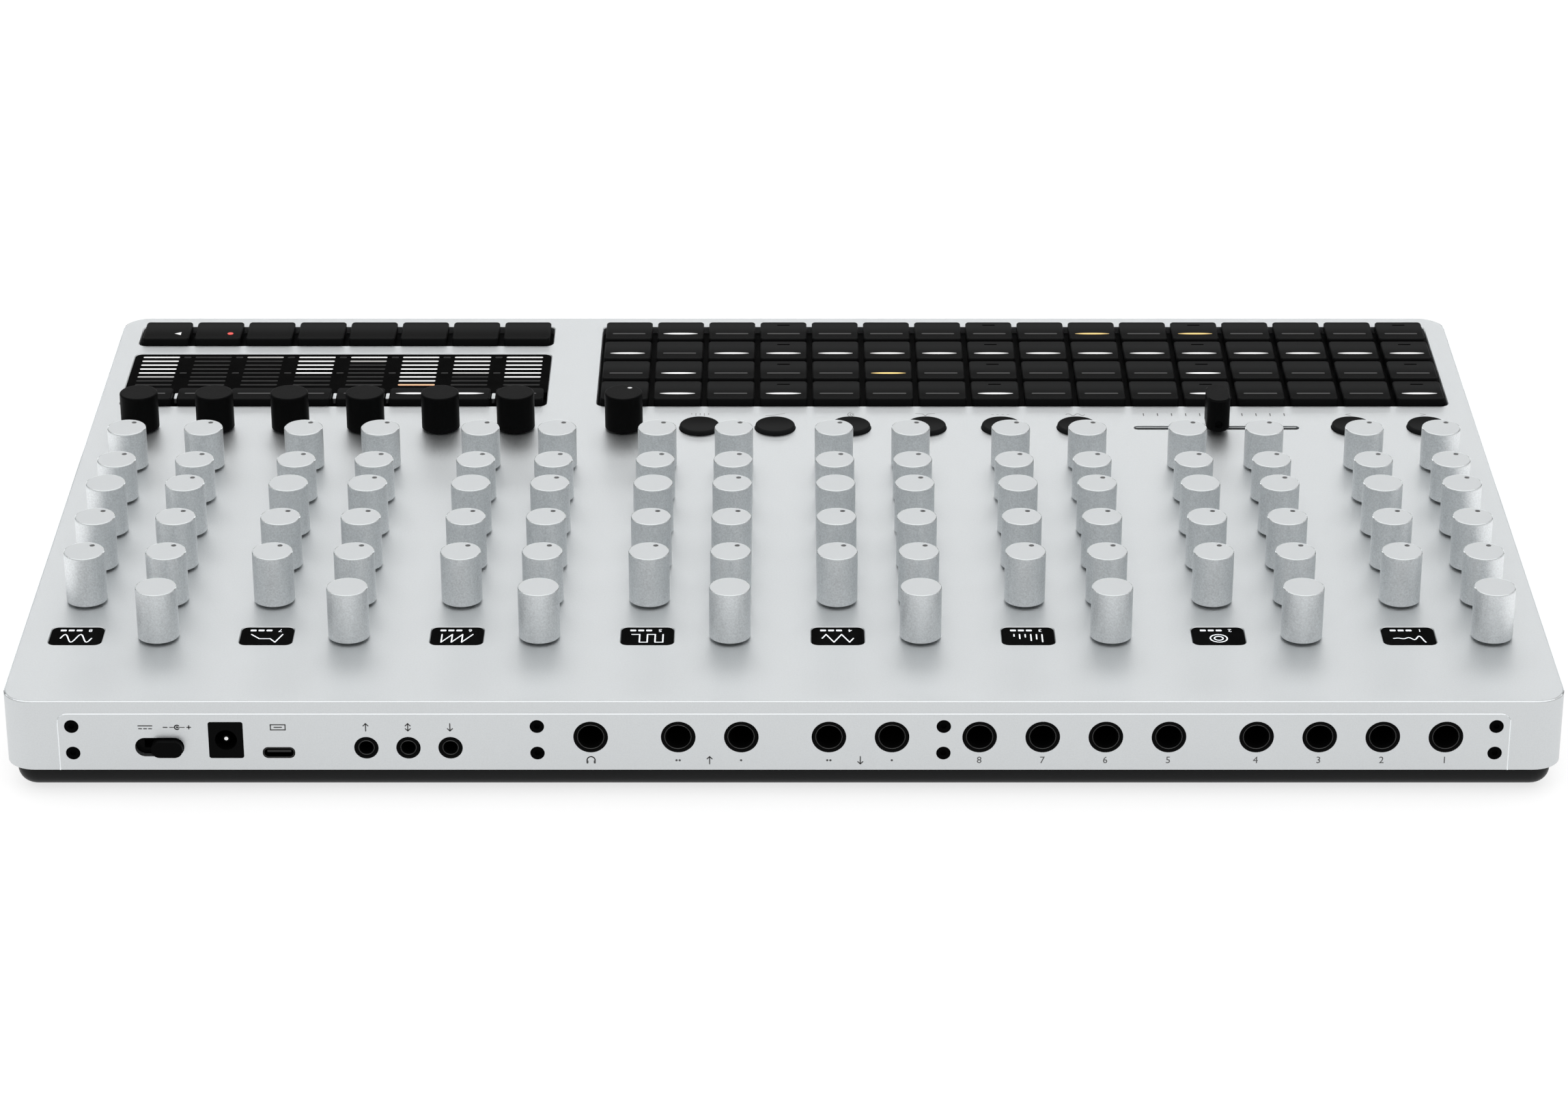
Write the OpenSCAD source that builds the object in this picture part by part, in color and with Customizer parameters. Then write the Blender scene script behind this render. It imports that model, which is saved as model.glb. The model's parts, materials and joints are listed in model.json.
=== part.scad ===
// Table-top drum machine: eight channel strips, a step key field and a rear socket panel.
// X runs to the user's right, Y to the rear face with the sockets, Z up from the feet.

/* [Case] */
// Width of the aluminium case
body_w = 441; // [400:1:500]
// Depth of the aluminium case
body_d = 281; // [260:1:320]
// Height of the aluminium case
case_h = 21.7; // [21.4:0.1:25]
// Plan radius of the case's corners
corner_r = 8.5; // [7.5:0.5:10]
// Thickness of the top panel
panel_t = 2.5; // [2.2:0.1:3]
// Thickness of the front and side walls
wall_t = 3; // [2.6:0.1:3.2]
// Thickness of the rear wall behind and around the rear panel
rear_wall_t = 5; // [4.5:0.1:5.4]
// Chamfer along the case's top edge
edge_chamfer = 0.5; // [0.2:0.1:1]
// Chamfer around the key and display cut-outs
cutout_chamfer = 0.3; // [0.1:0.1:0.5]

/* [Base] */
// Height of the black base below the case
base_h = 7.3; // [6.8:0.1:10]
// How far the base sits in from the case
base_inset = 2.5; // [2:0.1:2.8]
// Radius of the base's lower edge
base_edge_r = 4.5; // [2:0.1:5]
// Thickness of the base's floor
floor_t = 2.6; // [2.4:0.1:3]
// Thickness of the base's walls
base_wall_t = 2.5; // [2:0.1:3]
// Diameter of a rubber foot
foot_d = 18; // [12:1:22]
// How far a foot stands proud of the base
foot_proud = 1; // [0.6:0.1:2]
// Depth of a foot's pocket in the base
foot_pocket = 1; // [0.6:0.1:1.2]

/* [Channels] */
// Number of channel strips
channels = 8; // [8]
// Distance from the case's sides to the middle of the outer knobs
knob_side_inset = 16.07; // [15.8:0.01:18]
// Distance between the two knob columns of a strip, as a share of the distance between strips
knob_pitch_share = 0.43382; // [0.4:0.00001:0.5]
// Distance from the rear face to the first knob row
first_row_inset = 40.9; // [40.9:0.1:42]
// Distance between knob rows, as a share of the depth from the first row to the keys' front edge
row_pitch_share = 0.103026; // [0.1:0.000001:0.104]
// Distance from the last knob row to the row of black controls, as a share of the same depth
black_row_share = 0.12492; // [0.12:0.00001:0.128]

/* [Knobs] */
// Diameter of every knob
knob_d = 12; // [10:0.5:14]
// Height of a tall silver knob
tall_knob_h = 15.4; // [12:0.1:18]
// Height of a short silver knob
short_knob_h = 12.4; // [10:0.1:15]
// Height of a black knob
black_knob_h = 11.7; // [10:0.1:15]
// Gap between a knob and the panel
knob_gap = 0.7; // [0.3:0.1:1.5]
// Radius of a knob's top edge
knob_edge_r = 0.5; // [0.2:0.1:1]
// Diameter of the pointer dot
dot_d = 1.6; // [1:0.1:2]
// Depth of the pointer dot
dot_depth = 0.15; // [0.1:0.05:0.4]
// Distance from the pointer dot's edge to the knob's side
dot_margin = 1.13; // [0.8:0.01:1.6]
// Angle of the pointer dot at the knob's lower limit, from straight to the user
dot_angle = 28; // [0:1:45]
// Diameter of a control's shaft
shaft_d = 6; // [5:0.1:6.2]

/* [Keys] */
// Gap between key columns
key_gap_x = 1.77; // [1.4:0.01:3]
// Gap between key rows
key_gap_y = 1.9; // [1.4:0.1:3]
// Depth of a track key
track_key_d = 9.3; // [8:0.1:10]
// Depth of the key fields, as a share of the depth from the first knob row to their front edge
key_field_share = 0.28633; // [0.28:0.00001:0.29]
// Width of the bridge between the step keys and the track keys
field_bridge = 16.36; // [15.5:0.01:18]
// How far a key stands above the panel
key_rise = 2; // [1.4:0.1:3]
// Height of a key cap
key_cap_h = 2.8; // [2.4:0.1:3.4]
// Travel of a key
key_travel = 1; // [0.5:0.1:1.2]
// Plan radius of a key's corners
key_corner_r = 1.2; // [0.6:0.1:2]
// Chamfer of a key's top edge
key_chamfer = 0.3; // [0.1:0.1:0.5]
// Gap between the outer keys and their cut-out
key_border = 1.1; // [0.8:0.1:1.2]
// Distance from the case's front face to the key cut-outs
key_front_margin = 7.15; // [7:0.05:8]
// Distance from the case's sides to the key cut-outs
key_side_margin = 7.05; // [6.8:0.05:8]
// Width of the rib between the function keys and the meter
field_rib = 6.6; // [5:0.1:7]
// Radius of the key cut-outs' corners
cutout_r = 2.5; // [1.5:0.1:3]

/* [Buttons and fader] */
// Diameter of a round button
button_d = 12.6; // [10:0.1:13]
// How far a round button stands above the panel
button_rise = 1.4; // [1:0.1:2]
// Travel of a round button
button_travel = 0.7; // [0.4:0.1:0.9]
// Distance between round buttons, as a share of the distance between strips
button_pitch_share = 0.43636; // [0.42:0.00001:0.44]
// Place of the main volume knob, right of the middle, as a share of the distance between strips
main_knob_share = 0.92364; // [0.9:0.00001:0.94]
// Travel of the fader, as a share of the distance between strips
fader_travel_share = 0.81818; // [0.6:0.00001:0.83]
// Width of the fader's slot
fader_slot_w = 3; // [2.6:0.1:3.4]
// Width of the fader cap
fader_cap_w = 7.3; // [6:0.1:8]
// Depth of the fader cap
fader_cap_d = 13.6; // [12:0.1:14]
// Height of the fader cap
fader_cap_h = 10.8; // [10:0.1:13]

/* [Displays] */
// Width of a display's glass
display_w = 15; // [13:0.1:16]
// Depth of a display's glass
display_d = 11.4; // [10:0.1:12]
// Distance from the rear face to the middle of the displays
display_inset = 41.4; // [41:0.1:43]

/* [Rear panel] */
// Distance from the case's sides to the rear panel
plate_side_inset = 15.8; // [14.6:0.1:16]
// Distance from the top panel to the rear panel's upper edge
plate_drop = 4.05; // [3.6:0.05:4.2]
// Thickness of the rear panel
plate_t = 2; // [1.8:0.1:2.2]
// Radius of the rear panel's upper corners
plate_r = 2.8; // [1:0.1:3.4]
// Diameter of the rear screws' heads
rear_screw_d = 4; // [3:0.1:4.2]

/* [Sockets] */
// Radius of a line jack's bore
jack_bore_r = 3.2; // [3.18:0.01:3.3]
// Diameter of a line jack's visible ring
jack_ring_d = 9.4; // [8.6:0.1:10]
// Distance from the case's side to the middle of the first line jack
jack_side_inset = 33.8; // [33:0.1:36]
// Distance from the case's other side to the middle of the power switch
power_side_inset = 44.3; // [42:0.1:46]
// Depth of a line jack's body
jack_l = 30; // [28:0.5:30.2]
// Drop of the line jacks' axis below the top panel
jack_drop = 11.3; // [11.2:0.1:11.4]
// Radius of a small jack's bore
mini_bore_r = 1.8; // [1.77:0.01:1.85]
// Diameter of a small jack's visible ring
mini_ring_d = 6.5; // [6:0.1:6.8]
// Drop of the small jacks' axis below the top panel
mini_drop = 14.7; // [14.5:0.1:14.9]
// Width of the DC socket's face
dc_w = 9.65; // [9:0.05:10]
// Height of the DC socket's face
dc_h = 11.3; // [10.5:0.1:11.4]
// Width of the USB socket's shell
usb_w = 8.9; // [8.9:0.05:9.1]
// Height of the USB socket's shell
usb_h = 3.2; // [3.1:0.05:3.3]
// Length of the power switch's slot
switch_slot_w = 13.9; // [13:0.1:14.5]
// Height of the power switch's slot
switch_slot_h = 5.9; // [5.4:0.1:6.2]
// Travel of the power switch
switch_travel = 4.4; // [3:0.1:4.6]

/* [Hidden] */
$fn = 64;

// Running and fitting gaps
cut = 1;
seat_gap = 0.1;
fit_gap = 0.05;
slide_gap = 0.3;
hole_gap = 0.6;

// Heights from the table up
base_z = foot_proud;
case_z = base_z + base_h;
panel_top = case_z + case_h;
panel_under = panel_top - panel_t;
floor_top = base_z + floor_t;

// Circuit boards
board_t = 1.6;
control_h = 7;
board_top = panel_under - control_h;
jack_h = 15;
jack_board_top = panel_top - jack_drop - jack_h / 2;
board_edge_gap = 3.3;
board_gap = 3.85;
jack_board_front_gap = 0.5;

// Pots and encoders below the panel
pot_w = 9.8;
pot_l = 11.4;
encoder_w = 12.4;
collar_wall = 0.5;
collar_drop = 0.3;
shaft_play = 0.1;
pot_floor = 1.5;
shaft_lift = 0.3;
cap_roof = 3;
collar_d = shaft_d + 2 * shaft_play + 2 * collar_wall;
shaft_hole_d = collar_d + hole_gap;

// Key switches and stems
stem_d = 3.6;
switch_w = 6.2;
switch_h = 3.5;
stem_dip = 0.3;
well_gap = 0.5;
switch_well = stem_dip + max(key_travel, button_travel) + well_gap;
stem_hole_gap = 0.8;
deck_t = 1.2;
deck_margin = 1.3;
flange_margin = 1;
flange_t = 0.8;
button_hole_d = button_d + hole_gap;
button_edge_r = 0.6;
switch_top = board_top + switch_h;
stem_tip = switch_top - stem_dip;

// Screw posts of the case
post_d = 6;
shoulder_d = 9;
post_hole_d = 3;
post_hole_depth = 9;
post_edge_gap = 5.5;
rear_post_inset = 20;
gap_post_front = 13;
post_window_d = post_d + 1;
screw_head_d = 5.4;
screw_head_h = 1.3;
screw_recess = 0.1;
screw_l = 7;
hex_d = 2.6;
hex_depth = 0.8;

// Base details
lip_h = 2;
lip_t = 1.2;
lip_rear_gap = 12;
foot_inset_x = 30;
foot_inset_y = 28;
foot_chamfer = 0.4;
standoff_d = 6;
standoff_rear_inset = 26;
standoff_side_inset = 7.75;
main_board_w = 160;
main_board_d = 70;
main_board_y = 25;
chip_h = 2;
chip_share = 0.25;
chip_pitch_share = 0.25;

// Display and meter details
display_r = 2;
display_sink = 0.1;
display_gap = 0.1;
display_lip = 1.5;
display_body_h = 2;
meter_sink = 0.2;
meter_gap = 0.1;

// Fader details
lever_w = 4;
lever_t = 1.8;
lever_rise = 6;
fader_body_margin = 4;
fader_body_d = 9;
fader_end_gap = 1.8;
fader_slot_gap = 0.3;
fader_floor = 1.6;
fader_cap_gap = 1.4;
fader_cap_r = 3.5;
fader_edge = 0.5;
grub_d = 2.5;
grub_depth = 1.2;
grub_rise = 2.6;

// Socket details
jack_mouth = 0.35;
jack_lead = 0.8;
jack_end = 1;
jack_sink = 0.1;
jack_body_gap = 3.2;
ring_gap = 0.2;
mini_mouth = 0.2;
mini_l = 16;
mini_body_w = 9;
mini_bore_l = 14.5;
usb_drop = 16.24;
usb_l = 9;
usb_wall = 0.3;
usb_tongue_h = 0.7;
usb_tongue_w = 6.7;
usb_tongue_sink = 1;
usb_depth = 6;
usb_hole_gap = 0.3;
dc_drop = 12.26;
dc_l = 14;
dc_bore_d = 6.2;
dc_depth = 9.5;
dc_pin_d = 2;
dc_pin_sink = 1;
dc_r = 0.6;
plinth_share = 0.7;
switch_drop = 14.5;
switch_body_w = 18;
switch_body_l = 8;
switch_face_gap = 0.3;
slider_w = 8.9;
slider_h = 4.9;
slider_proud = 2;
tongue_w = 4;
tongue_h = 2;
tongue_l = 3;
tongue_gap = 0.3;

// Rear panel's fixings
plate_gap = 0.15;
web_w = 5;
web_1_gap = 0.35;
web_2_gap = 5.3;
rear_screw_inset = 3.95;
rear_screw_drops = [7.95, 16.4];
rear_head_h = 1.2;
rear_shank_d = 2.4;
rear_screw_l = 4.4;
rear_hex_d = 1.8;
window_drop = 0.8;

// Distances of the controls, which follow the case's width and depth
channel_pitch = (body_w - 2 * knob_side_inset) / (channels - 1 + knob_pitch_share);
knob_pitch_x = channel_pitch * knob_pitch_share;
button_pitch = channel_pitch * button_pitch_share;
main_knob_x = channel_pitch * main_knob_share;
fader_travel = channel_pitch * fader_travel_share;
layout_d = body_d - first_row_inset - key_front_margin;
knob_pitch_y = layout_d * row_pitch_share;
last_row = 5;

// Places of the controls
function channel_x(c) = (c - (channels + 1) / 2) * channel_pitch;
function knob_x(c, side) = channel_x(c) + side * knob_pitch_x / 2;
function row_y(r) = body_d / 2 - first_row_inset - r * knob_pitch_y;
function is_encoder(r, side) = r == 0 || (r == 3 && side > 0);
function silver_h(r) = r < 4 ? tall_knob_h : short_knob_h;
knob_rows = [0:last_row];
knob_places = [for (c = [1:channels], r = knob_rows, side = [-1, 1]) if (r > 0 || side < 0) [c, r, side]];
black_y = row_y(last_row) - layout_d * black_row_share;
menu_knobs = 6;
function menu_x(k) = knob_x(channels, 1) - (menu_knobs - k) * knob_pitch_x;
effect_buttons_n = 6;
effect_xs = [for (i = [1:effect_buttons_n]) main_knob_x - i * button_pitch];
page_xs = [for (i = [0, 1]) knob_x(1, -1) + i * button_pitch];
fader_x = channel_x(2);
fader_slot_l = fader_travel + lever_w + 2 * fader_end_gap;

// Places of the keys
step_cols = 16;
step_rows = 4;
side_cols = 8;
field_d = layout_d * key_field_share;
field_edges = 2 * key_border - key_gap_x;
fields_w = body_w - 2 * key_side_margin - field_bridge;
key_pitch_x = (fields_w - 2 * field_edges) / (step_cols + side_cols);
key_pitch_y = (field_d + key_gap_y - 2 * key_border) / step_rows;
key_w = key_pitch_x - key_gap_x;
key_d = key_pitch_y - key_gap_y;
function step_x(i) = -body_w / 2 + key_side_margin + key_border + key_w / 2 + i * key_pitch_x;
function side_x(i) =
    body_w / 2 - key_side_margin - key_border - key_w / 2 - (side_cols - 1 - i) * key_pitch_x;
function key_y(row) = -body_d / 2 + key_front_margin + key_border + key_d / 2 + row * key_pitch_y;
fields_front = -body_d / 2 + key_front_margin;
fields_rear = key_y(step_rows - 1) + key_d / 2 + key_border;
function_rear = key_y(0) + key_d / 2 + key_border;
meter_front = function_rear + field_rib;
track_y = fields_rear - key_border - track_key_d / 2;
glass_rear = track_y - track_key_d / 2 - key_border;
step_left = -body_w / 2 + key_side_margin;
step_right = step_x(step_cols - 1) + key_w / 2 + key_border;
side_left = side_x(0) - key_w / 2 - key_border;
side_right = body_w / 2 - key_side_margin;

// Places of the sockets
jack_groups = [4, 8, 10, 12];
jack_count = 13;
group_gap_share = 0.38764;
mini_start_share = 2.22472;
mini_pitch_share = 0.66742;
usb_share = 4.94944;
dc_share = 5.7809;
power_share = 6.83708;
jack_pitches = jack_count - 1 + len(jack_groups) * group_gap_share + power_share;
jack_pitch = (body_w - jack_side_inset - power_side_inset) / jack_pitches;
jack_w = jack_pitch - jack_body_gap;
function gaps_before(i) = len([for (g = jack_groups) if (i >= g) g]);
function jack_x(i) = -body_w / 2 + jack_side_inset + (i + gaps_before(i) * group_gap_share) * jack_pitch;
last_jack_x = jack_x(jack_count - 1);
mini_xs = [for (i = [0:2]) last_jack_x + (mini_start_share + i * mini_pitch_share) * jack_pitch];
usb_x = last_jack_x + usb_share * jack_pitch;
dc_x = last_jack_x + dc_share * jack_pitch;
power_x = last_jack_x + power_share * jack_pitch;
rear_y = body_d / 2;
plate_w = body_w - 2 * plate_side_inset;
screw_xs = [
    -plate_w / 2 + rear_screw_inset,
    jack_x(jack_groups[1] - 1) + jack_w / 2 + web_1_gap + web_w / 2,
    last_jack_x + jack_w / 2 + web_2_gap + web_w / 2,
    plate_w / 2 - rear_screw_inset
];

// Places of the screw posts, between pots, boards and keys
side_post_x = body_w / 2 - wall_t - post_edge_gap;
mid_row_y = (row_y(last_row) + black_y) / 2;
jack_board_x = screw_xs[3] - web_w / 2 - jack_board_front_gap;
field_gap_x = (step_right + side_left) / 2;
post_places = concat(
    [for (s = [-1, 1]) [s * side_post_x, rear_y - rear_post_inset]],
    [for (s = [-1, 1]) [s * side_post_x, (row_y(1) + row_y(2)) / 2]],
    [for (s = [-1, 1]) [s * side_post_x, mid_row_y]],
    [for (s = [-1, 0, 1]) [s * 2 * channel_pitch, mid_row_y]],
    [[field_gap_x, track_y], [field_gap_x, fields_front + gap_post_front]]
);
foot_places = concat(
    [for (sx = [-1, 1], sy = [-1, 1]) [sx * (body_w / 2 - foot_inset_x), sy * (body_d / 2 - foot_inset_y)]],
    [[0, 0]]
);

channel_1_names = [
    "ch1_level_knob", "ch1_knob_1", "ch1_knob_2", "ch1_knob_3", "ch1_knob_4", "ch1_knob_5",
    "ch1_knob_6", "ch1_knob_7", "ch1_knob_8", "ch1_knob_9", "ch1_knob_10"
];
level_names = [
    "ch2_level_knob", "ch3_level_knob", "ch4_level_knob", "ch5_level_knob", "ch6_level_knob",
    "ch7_level_knob", "ch8_level_knob"
];
menu_names = ["menu_knob_1", "menu_knob_2", "menu_knob_3", "menu_knob_4", "menu_knob_5", "menu_knob_6"];
step_names = ["step_keys_row_1", "step_keys_row_2", "step_keys_row_3", "step_keys_row_4"];

// Outline of a rectangle with round corners
module rounded(w, d, r) {
    square([w - 2 * r, d], center = true);
    square([w, d - 2 * r], center = true);
    for (sx = [-1, 1], sy = [-1, 1])
        translate([sx * (w / 2 - r), sy * (d / 2 - r)]) circle(r);
}

// Round-cornered layer that narrows by its own inset on the way up
module tapered(w, d, h, r, inset) {
    rotate([90, 0, 90]) linear_extrude(w - 2 * r, center = true)
        polygon([[-d / 2, 0], [d / 2, 0], [d / 2 - inset, h], [-d / 2 + inset, h]]);
    rotate([90, 0, 0]) linear_extrude(d - 2 * r, center = true)
        polygon([[-w / 2, 0], [w / 2, 0], [w / 2 - inset, h], [-w / 2 + inset, h]]);
    for (sx = [-1, 1], sy = [-1, 1])
        translate([sx * (w / 2 - r), sy * (d / 2 - r), 0]) cylinder(h, r1 = r, r2 = r - inset);
}

// Block with round corners and a chamfered top edge
module slab(w, d, h, r, chamfer) {
    linear_extrude(h - chamfer) rounded(w, d, r);
    translate([0, 0, h - chamfer]) tapered(w, d, chamfer, r, chamfer);
}

// Cut through the panel with a chamfered mouth, for an opening given by its edges
module cutout(x0, x1, y0, y1, r) {
    translate([(x0 + x1) / 2, (y0 + y1) / 2, 0]) {
        translate([0, 0, panel_under - cut])
            linear_extrude(panel_t + 2 * cut) rounded(x1 - x0, y1 - y0, r);
        translate([0, 0, panel_top]) mirror([0, 0, 1])
            tapered(x1 - x0 + 2 * cutout_chamfer, y1 - y0 + 2 * cutout_chamfer, cutout_chamfer,
                r + cutout_chamfer, cutout_chamfer);
    }
}

// Cylinder that lies along Y, from the rear face inwards
module inward(x, z, y, l, r) {
    translate([x, y, z]) rotate([90, 0, 0]) cylinder(l, r = r);
}

// Outline in the rear face's plane, extruded inwards from a given depth
module rear_extrude(x, z, y, l) {
    translate([x, y, z]) rotate([90, 0, 0]) linear_extrude(l) children();
}

// Case

module top_case() {
    color("silver") difference() {
        union() {
            difference() {
                translate([0, 0, case_z]) slab(body_w, body_d, case_h, corner_r, edge_chamfer);
                case_cavity();
            }
            case_posts();
        }
        panel_holes();
        rear_pocket();
        rear_screw_holes();
        for (p = post_places)
            translate([p[0], p[1], floor_top - cut]) cylinder(post_hole_depth + cut, d = post_hole_d);
    }
}

module case_cavity() {
    cavity_d = body_d - wall_t - rear_wall_t;
    translate([0, (wall_t - rear_wall_t) / 2, case_z - cut])
        linear_extrude(case_h - panel_t + cut) rounded(body_w - 2 * wall_t, cavity_d, corner_r - wall_t);
}

module case_posts() {
    for (p = post_places) translate([p[0], p[1], 0]) {
        translate([0, 0, floor_top]) cylinder(panel_under - floor_top + panel_t / 2, d = post_d);
        translate([0, 0, board_top]) cylinder(panel_under - board_top + panel_t / 2, d = shoulder_d);
    }
}

module panel_holes() {
    hole_z = panel_under - cut;
    hole_h = panel_t + 2 * cut;
    for (k = knob_places)
        translate([knob_x(k[0], k[2]), row_y(k[1]), hole_z]) cylinder(hole_h, d = shaft_hole_d);
    for (x = concat([for (k = [1:menu_knobs]) menu_x(k)], [main_knob_x]))
        translate([x, black_y, hole_z]) cylinder(hole_h, d = shaft_hole_d);
    for (x = concat(effect_xs, page_xs))
        translate([x, black_y, hole_z]) cylinder(hole_h, d = button_hole_d);
    translate([fader_x, black_y, hole_z])
        linear_extrude(hole_h) rounded(fader_slot_l, fader_slot_w, fader_slot_w / 2 - fit_gap);
    for (c = [1:channels])
        cutout(knob_x(c, 1) - display_w / 2 - display_gap, knob_x(c, 1) + display_w / 2 + display_gap,
            rear_y - display_inset - display_d / 2 - display_gap,
            rear_y - display_inset + display_d / 2 + display_gap, display_r + display_gap);
    cutout(step_left, step_right, fields_front, fields_rear, cutout_r);
    cutout(side_left, side_right, fields_front, function_rear, cutout_r);
    cutout(side_left, side_right, meter_front, fields_rear, cutout_r);
}

// Pocket for the rear panel, and the windows behind it for the sockets' bodies
module rear_pocket() {
    rear_extrude(0, 0, rear_y + cut, plate_t + cut) plate_outline(plate_gap);
    for (i = [0:len(screw_xs) - 2]) {
        x0 = screw_xs[i] + web_w / 2;
        x1 = screw_xs[i + 1] - web_w / 2;
        translate([x0, rear_y - rear_wall_t - cut, case_z - cut])
            cube([x1 - x0, rear_wall_t + cut - plate_t / 2, case_h + cut - panel_t - window_drop]);
    }
}

// Outline of the rear panel, square at the foot, widened by a gap
module plate_outline(gap) {
    w = plate_w + 2 * gap;
    top = panel_top - plate_drop + gap;
    foot = case_z - (gap > 0 ? cut : 0);
    difference() {
        translate([0, foot]) rounded(w, 2 * (top - foot), plate_r + gap);
        translate([-w, foot - 2 * case_h]) square([2 * w, 2 * case_h]);
    }
}

module rear_screw_holes() {
    for (x = screw_xs, drop = rear_screw_drops)
        inward(x, panel_top - drop, rear_y, rear_wall_t + cut, rear_shank_d / 2 + fit_gap);
}

module rear_panel() {
    color("silver") difference() {
        rear_extrude(0, 0, rear_y, plate_t - fit_gap) plate_outline(0);
        for (x = screw_xs, drop = rear_screw_drops) {
            inward(x, panel_top - drop, rear_y + cut, plate_t + 2 * cut, rear_shank_d / 2 + seat_gap);
            inward(x, panel_top - drop, rear_y + cut, rear_head_h + cut, rear_screw_d / 2 + fit_gap);
        }
        for (i = [0:jack_count - 1])
            inward(jack_x(i), panel_top - jack_drop, rear_y + cut, plate_t + 2 * cut,
                jack_ring_d / 2 + ring_gap);
        for (x = mini_xs)
            inward(x, panel_top - mini_drop, rear_y + cut, plate_t + 2 * cut, mini_ring_d / 2 + ring_gap);
        rear_extrude(dc_x, panel_top - dc_drop, rear_y + cut, plate_t + 2 * cut)
            rounded(dc_w + 2 * seat_gap, dc_h + 2 * seat_gap, dc_r + seat_gap);
        rear_extrude(usb_x, panel_top - usb_drop, rear_y + cut, plate_t + 2 * cut)
            rounded(usb_w + usb_hole_gap, usb_h + usb_hole_gap, usb_h / 2);
        rear_extrude(power_x, panel_top - switch_drop, rear_y + cut, plate_t + 2 * cut)
            rounded(switch_slot_w, switch_slot_h, switch_slot_h / 2 - fit_gap);
    }
}

module rear_screws() {
    color("black") for (x = screw_xs, drop = rear_screw_drops) difference() {
        union() {
            inward(x, panel_top - drop, rear_y - screw_recess, rear_head_h - screw_recess, rear_screw_d / 2);
            inward(x, panel_top - drop, rear_y - rear_head_h, rear_screw_l - rear_head_h, rear_shank_d / 2);
        }
        translate([x, rear_y + cut, panel_top - drop]) rotate([90, 0, 0])
            cylinder(hex_depth + cut, d = rear_hex_d, $fn = 6);
    }
}

// Base

module bottom_tray() {
    color("#1c1e20") difference() {
        union() {
            difference() {
                base_shell();
                base_cavity();
            }
            base_lip();
            for (p = standoff_places())
                translate([p[0], p[1], base_z + floor_t / 2])
                    cylinder(jack_board_top - board_t - base_z - floor_t / 2, d = standoff_d);
        }
        for (p = foot_places)
            translate([p[0], p[1], base_z - cut]) cylinder(foot_pocket + cut, d = foot_d + 2 * seat_gap);
        for (p = post_places) translate([p[0], p[1], base_z - cut]) {
            cylinder(floor_t + 2 * cut, d = post_hole_d + seat_gap);
            cylinder(screw_head_h + screw_recess + cut, d = screw_head_d + 2 * seat_gap);
        }
    }
}

// Outer form of the base, with a round lower edge
module base_shell() {
    w = body_w - 2 * base_inset;
    d = body_d - 2 * base_inset;
    r = corner_r - base_inset;
    translate([0, 0, base_z]) {
        rotate([90, 0, 90]) linear_extrude(w - 2 * r, center = true) base_section(d);
        rotate([90, 0, 0]) linear_extrude(d - 2 * r, center = true) base_section(w);
        for (sx = [-1, 1], sy = [-1, 1])
            translate([sx * (w / 2 - r), sy * (d / 2 - r), 0]) rotate_extrude() intersection() {
                base_section(2 * r);
                square([r, base_h]);
            }
    }
}

// Section of the base across a given width
module base_section(w) {
    translate([-w / 2, base_edge_r]) square([w, base_h - base_edge_r]);
    translate([-w / 2 + base_edge_r, 0]) square([w - 2 * base_edge_r, base_h]);
    intersection() {
        for (s = [-1, 1]) translate([s * (w / 2 - base_edge_r), base_edge_r]) circle(base_edge_r);
        translate([-w / 2, 0]) square([w, base_h]);
    }
}

module base_cavity() {
    inset = base_inset + base_wall_t;
    translate([0, 0, floor_top])
        linear_extrude(base_h + cut) rounded(body_w - 2 * inset, body_d - 2 * inset, corner_r - inset);
}

// Lip that locates the base inside the front and side walls
module base_lip() {
    outer = wall_t + slide_gap;
    inner = outer + lip_t;
    outer_r = corner_r - outer;
    translate([0, 0, case_z - floor_t / 2]) linear_extrude(lip_h + floor_t / 2) difference() {
        rounded(body_w - 2 * outer, body_d - 2 * outer, outer_r);
        rounded(body_w - 2 * inner, body_d - 2 * inner, outer_r - lip_t);
        translate([-body_w, rear_y - lip_rear_gap]) square([2 * body_w, body_d]);
        for (p = post_places) translate(p) circle(d = post_d + 2 * slide_gap);
    }
}

function standoff_places() = concat(
    [for (i = [-2:2]) [i * (jack_board_x - standoff_side_inset) / 2, rear_y - standoff_rear_inset]],
    [for (sx = [-1, 1], sy = [-1, 1])
        [sx * (main_board_w / 2 - standoff_d), main_board_y + sy * (main_board_d / 2 - standoff_d)]]
);

module rubber_feet() {
    color("#2a2a2a") for (p = foot_places) translate([p[0], p[1], 0]) {
        translate([0, 0, foot_chamfer])
            cylinder(foot_proud + foot_pocket - foot_chamfer, d = foot_d);
        cylinder(foot_chamfer, d1 = foot_d - 2 * foot_chamfer, d2 = foot_d);
    }
}

module base_screws() {
    color("black") for (p = post_places) translate([p[0], p[1], base_z + screw_recess]) difference() {
        union() {
            cylinder(screw_head_h, d = screw_head_d);
            cylinder(screw_l, d = post_hole_d - 2 * fit_gap);
        }
        translate([0, 0, -cut]) cylinder(hex_depth + cut, d = hex_d, $fn = 6);
    }
}

// Boards

module board(x0, x1, y0, y1, top) {
    difference() {
        translate([x0, y0, top - board_t]) cube([x1 - x0, y1 - y0, board_t]);
        for (p = post_places)
            translate([p[0], p[1], top - board_t - cut]) cylinder(board_t + cut + fit_gap, d = post_window_d);
    }
}

module control_board() {
    x = body_w / 2 - wall_t - 2 * board_edge_gap;
    front = fields_rear + deck_margin + board_gap;
    color("darkgreen") board(-x, x, front, rear_y - jack_l - board_edge_gap, board_top);
}

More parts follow.
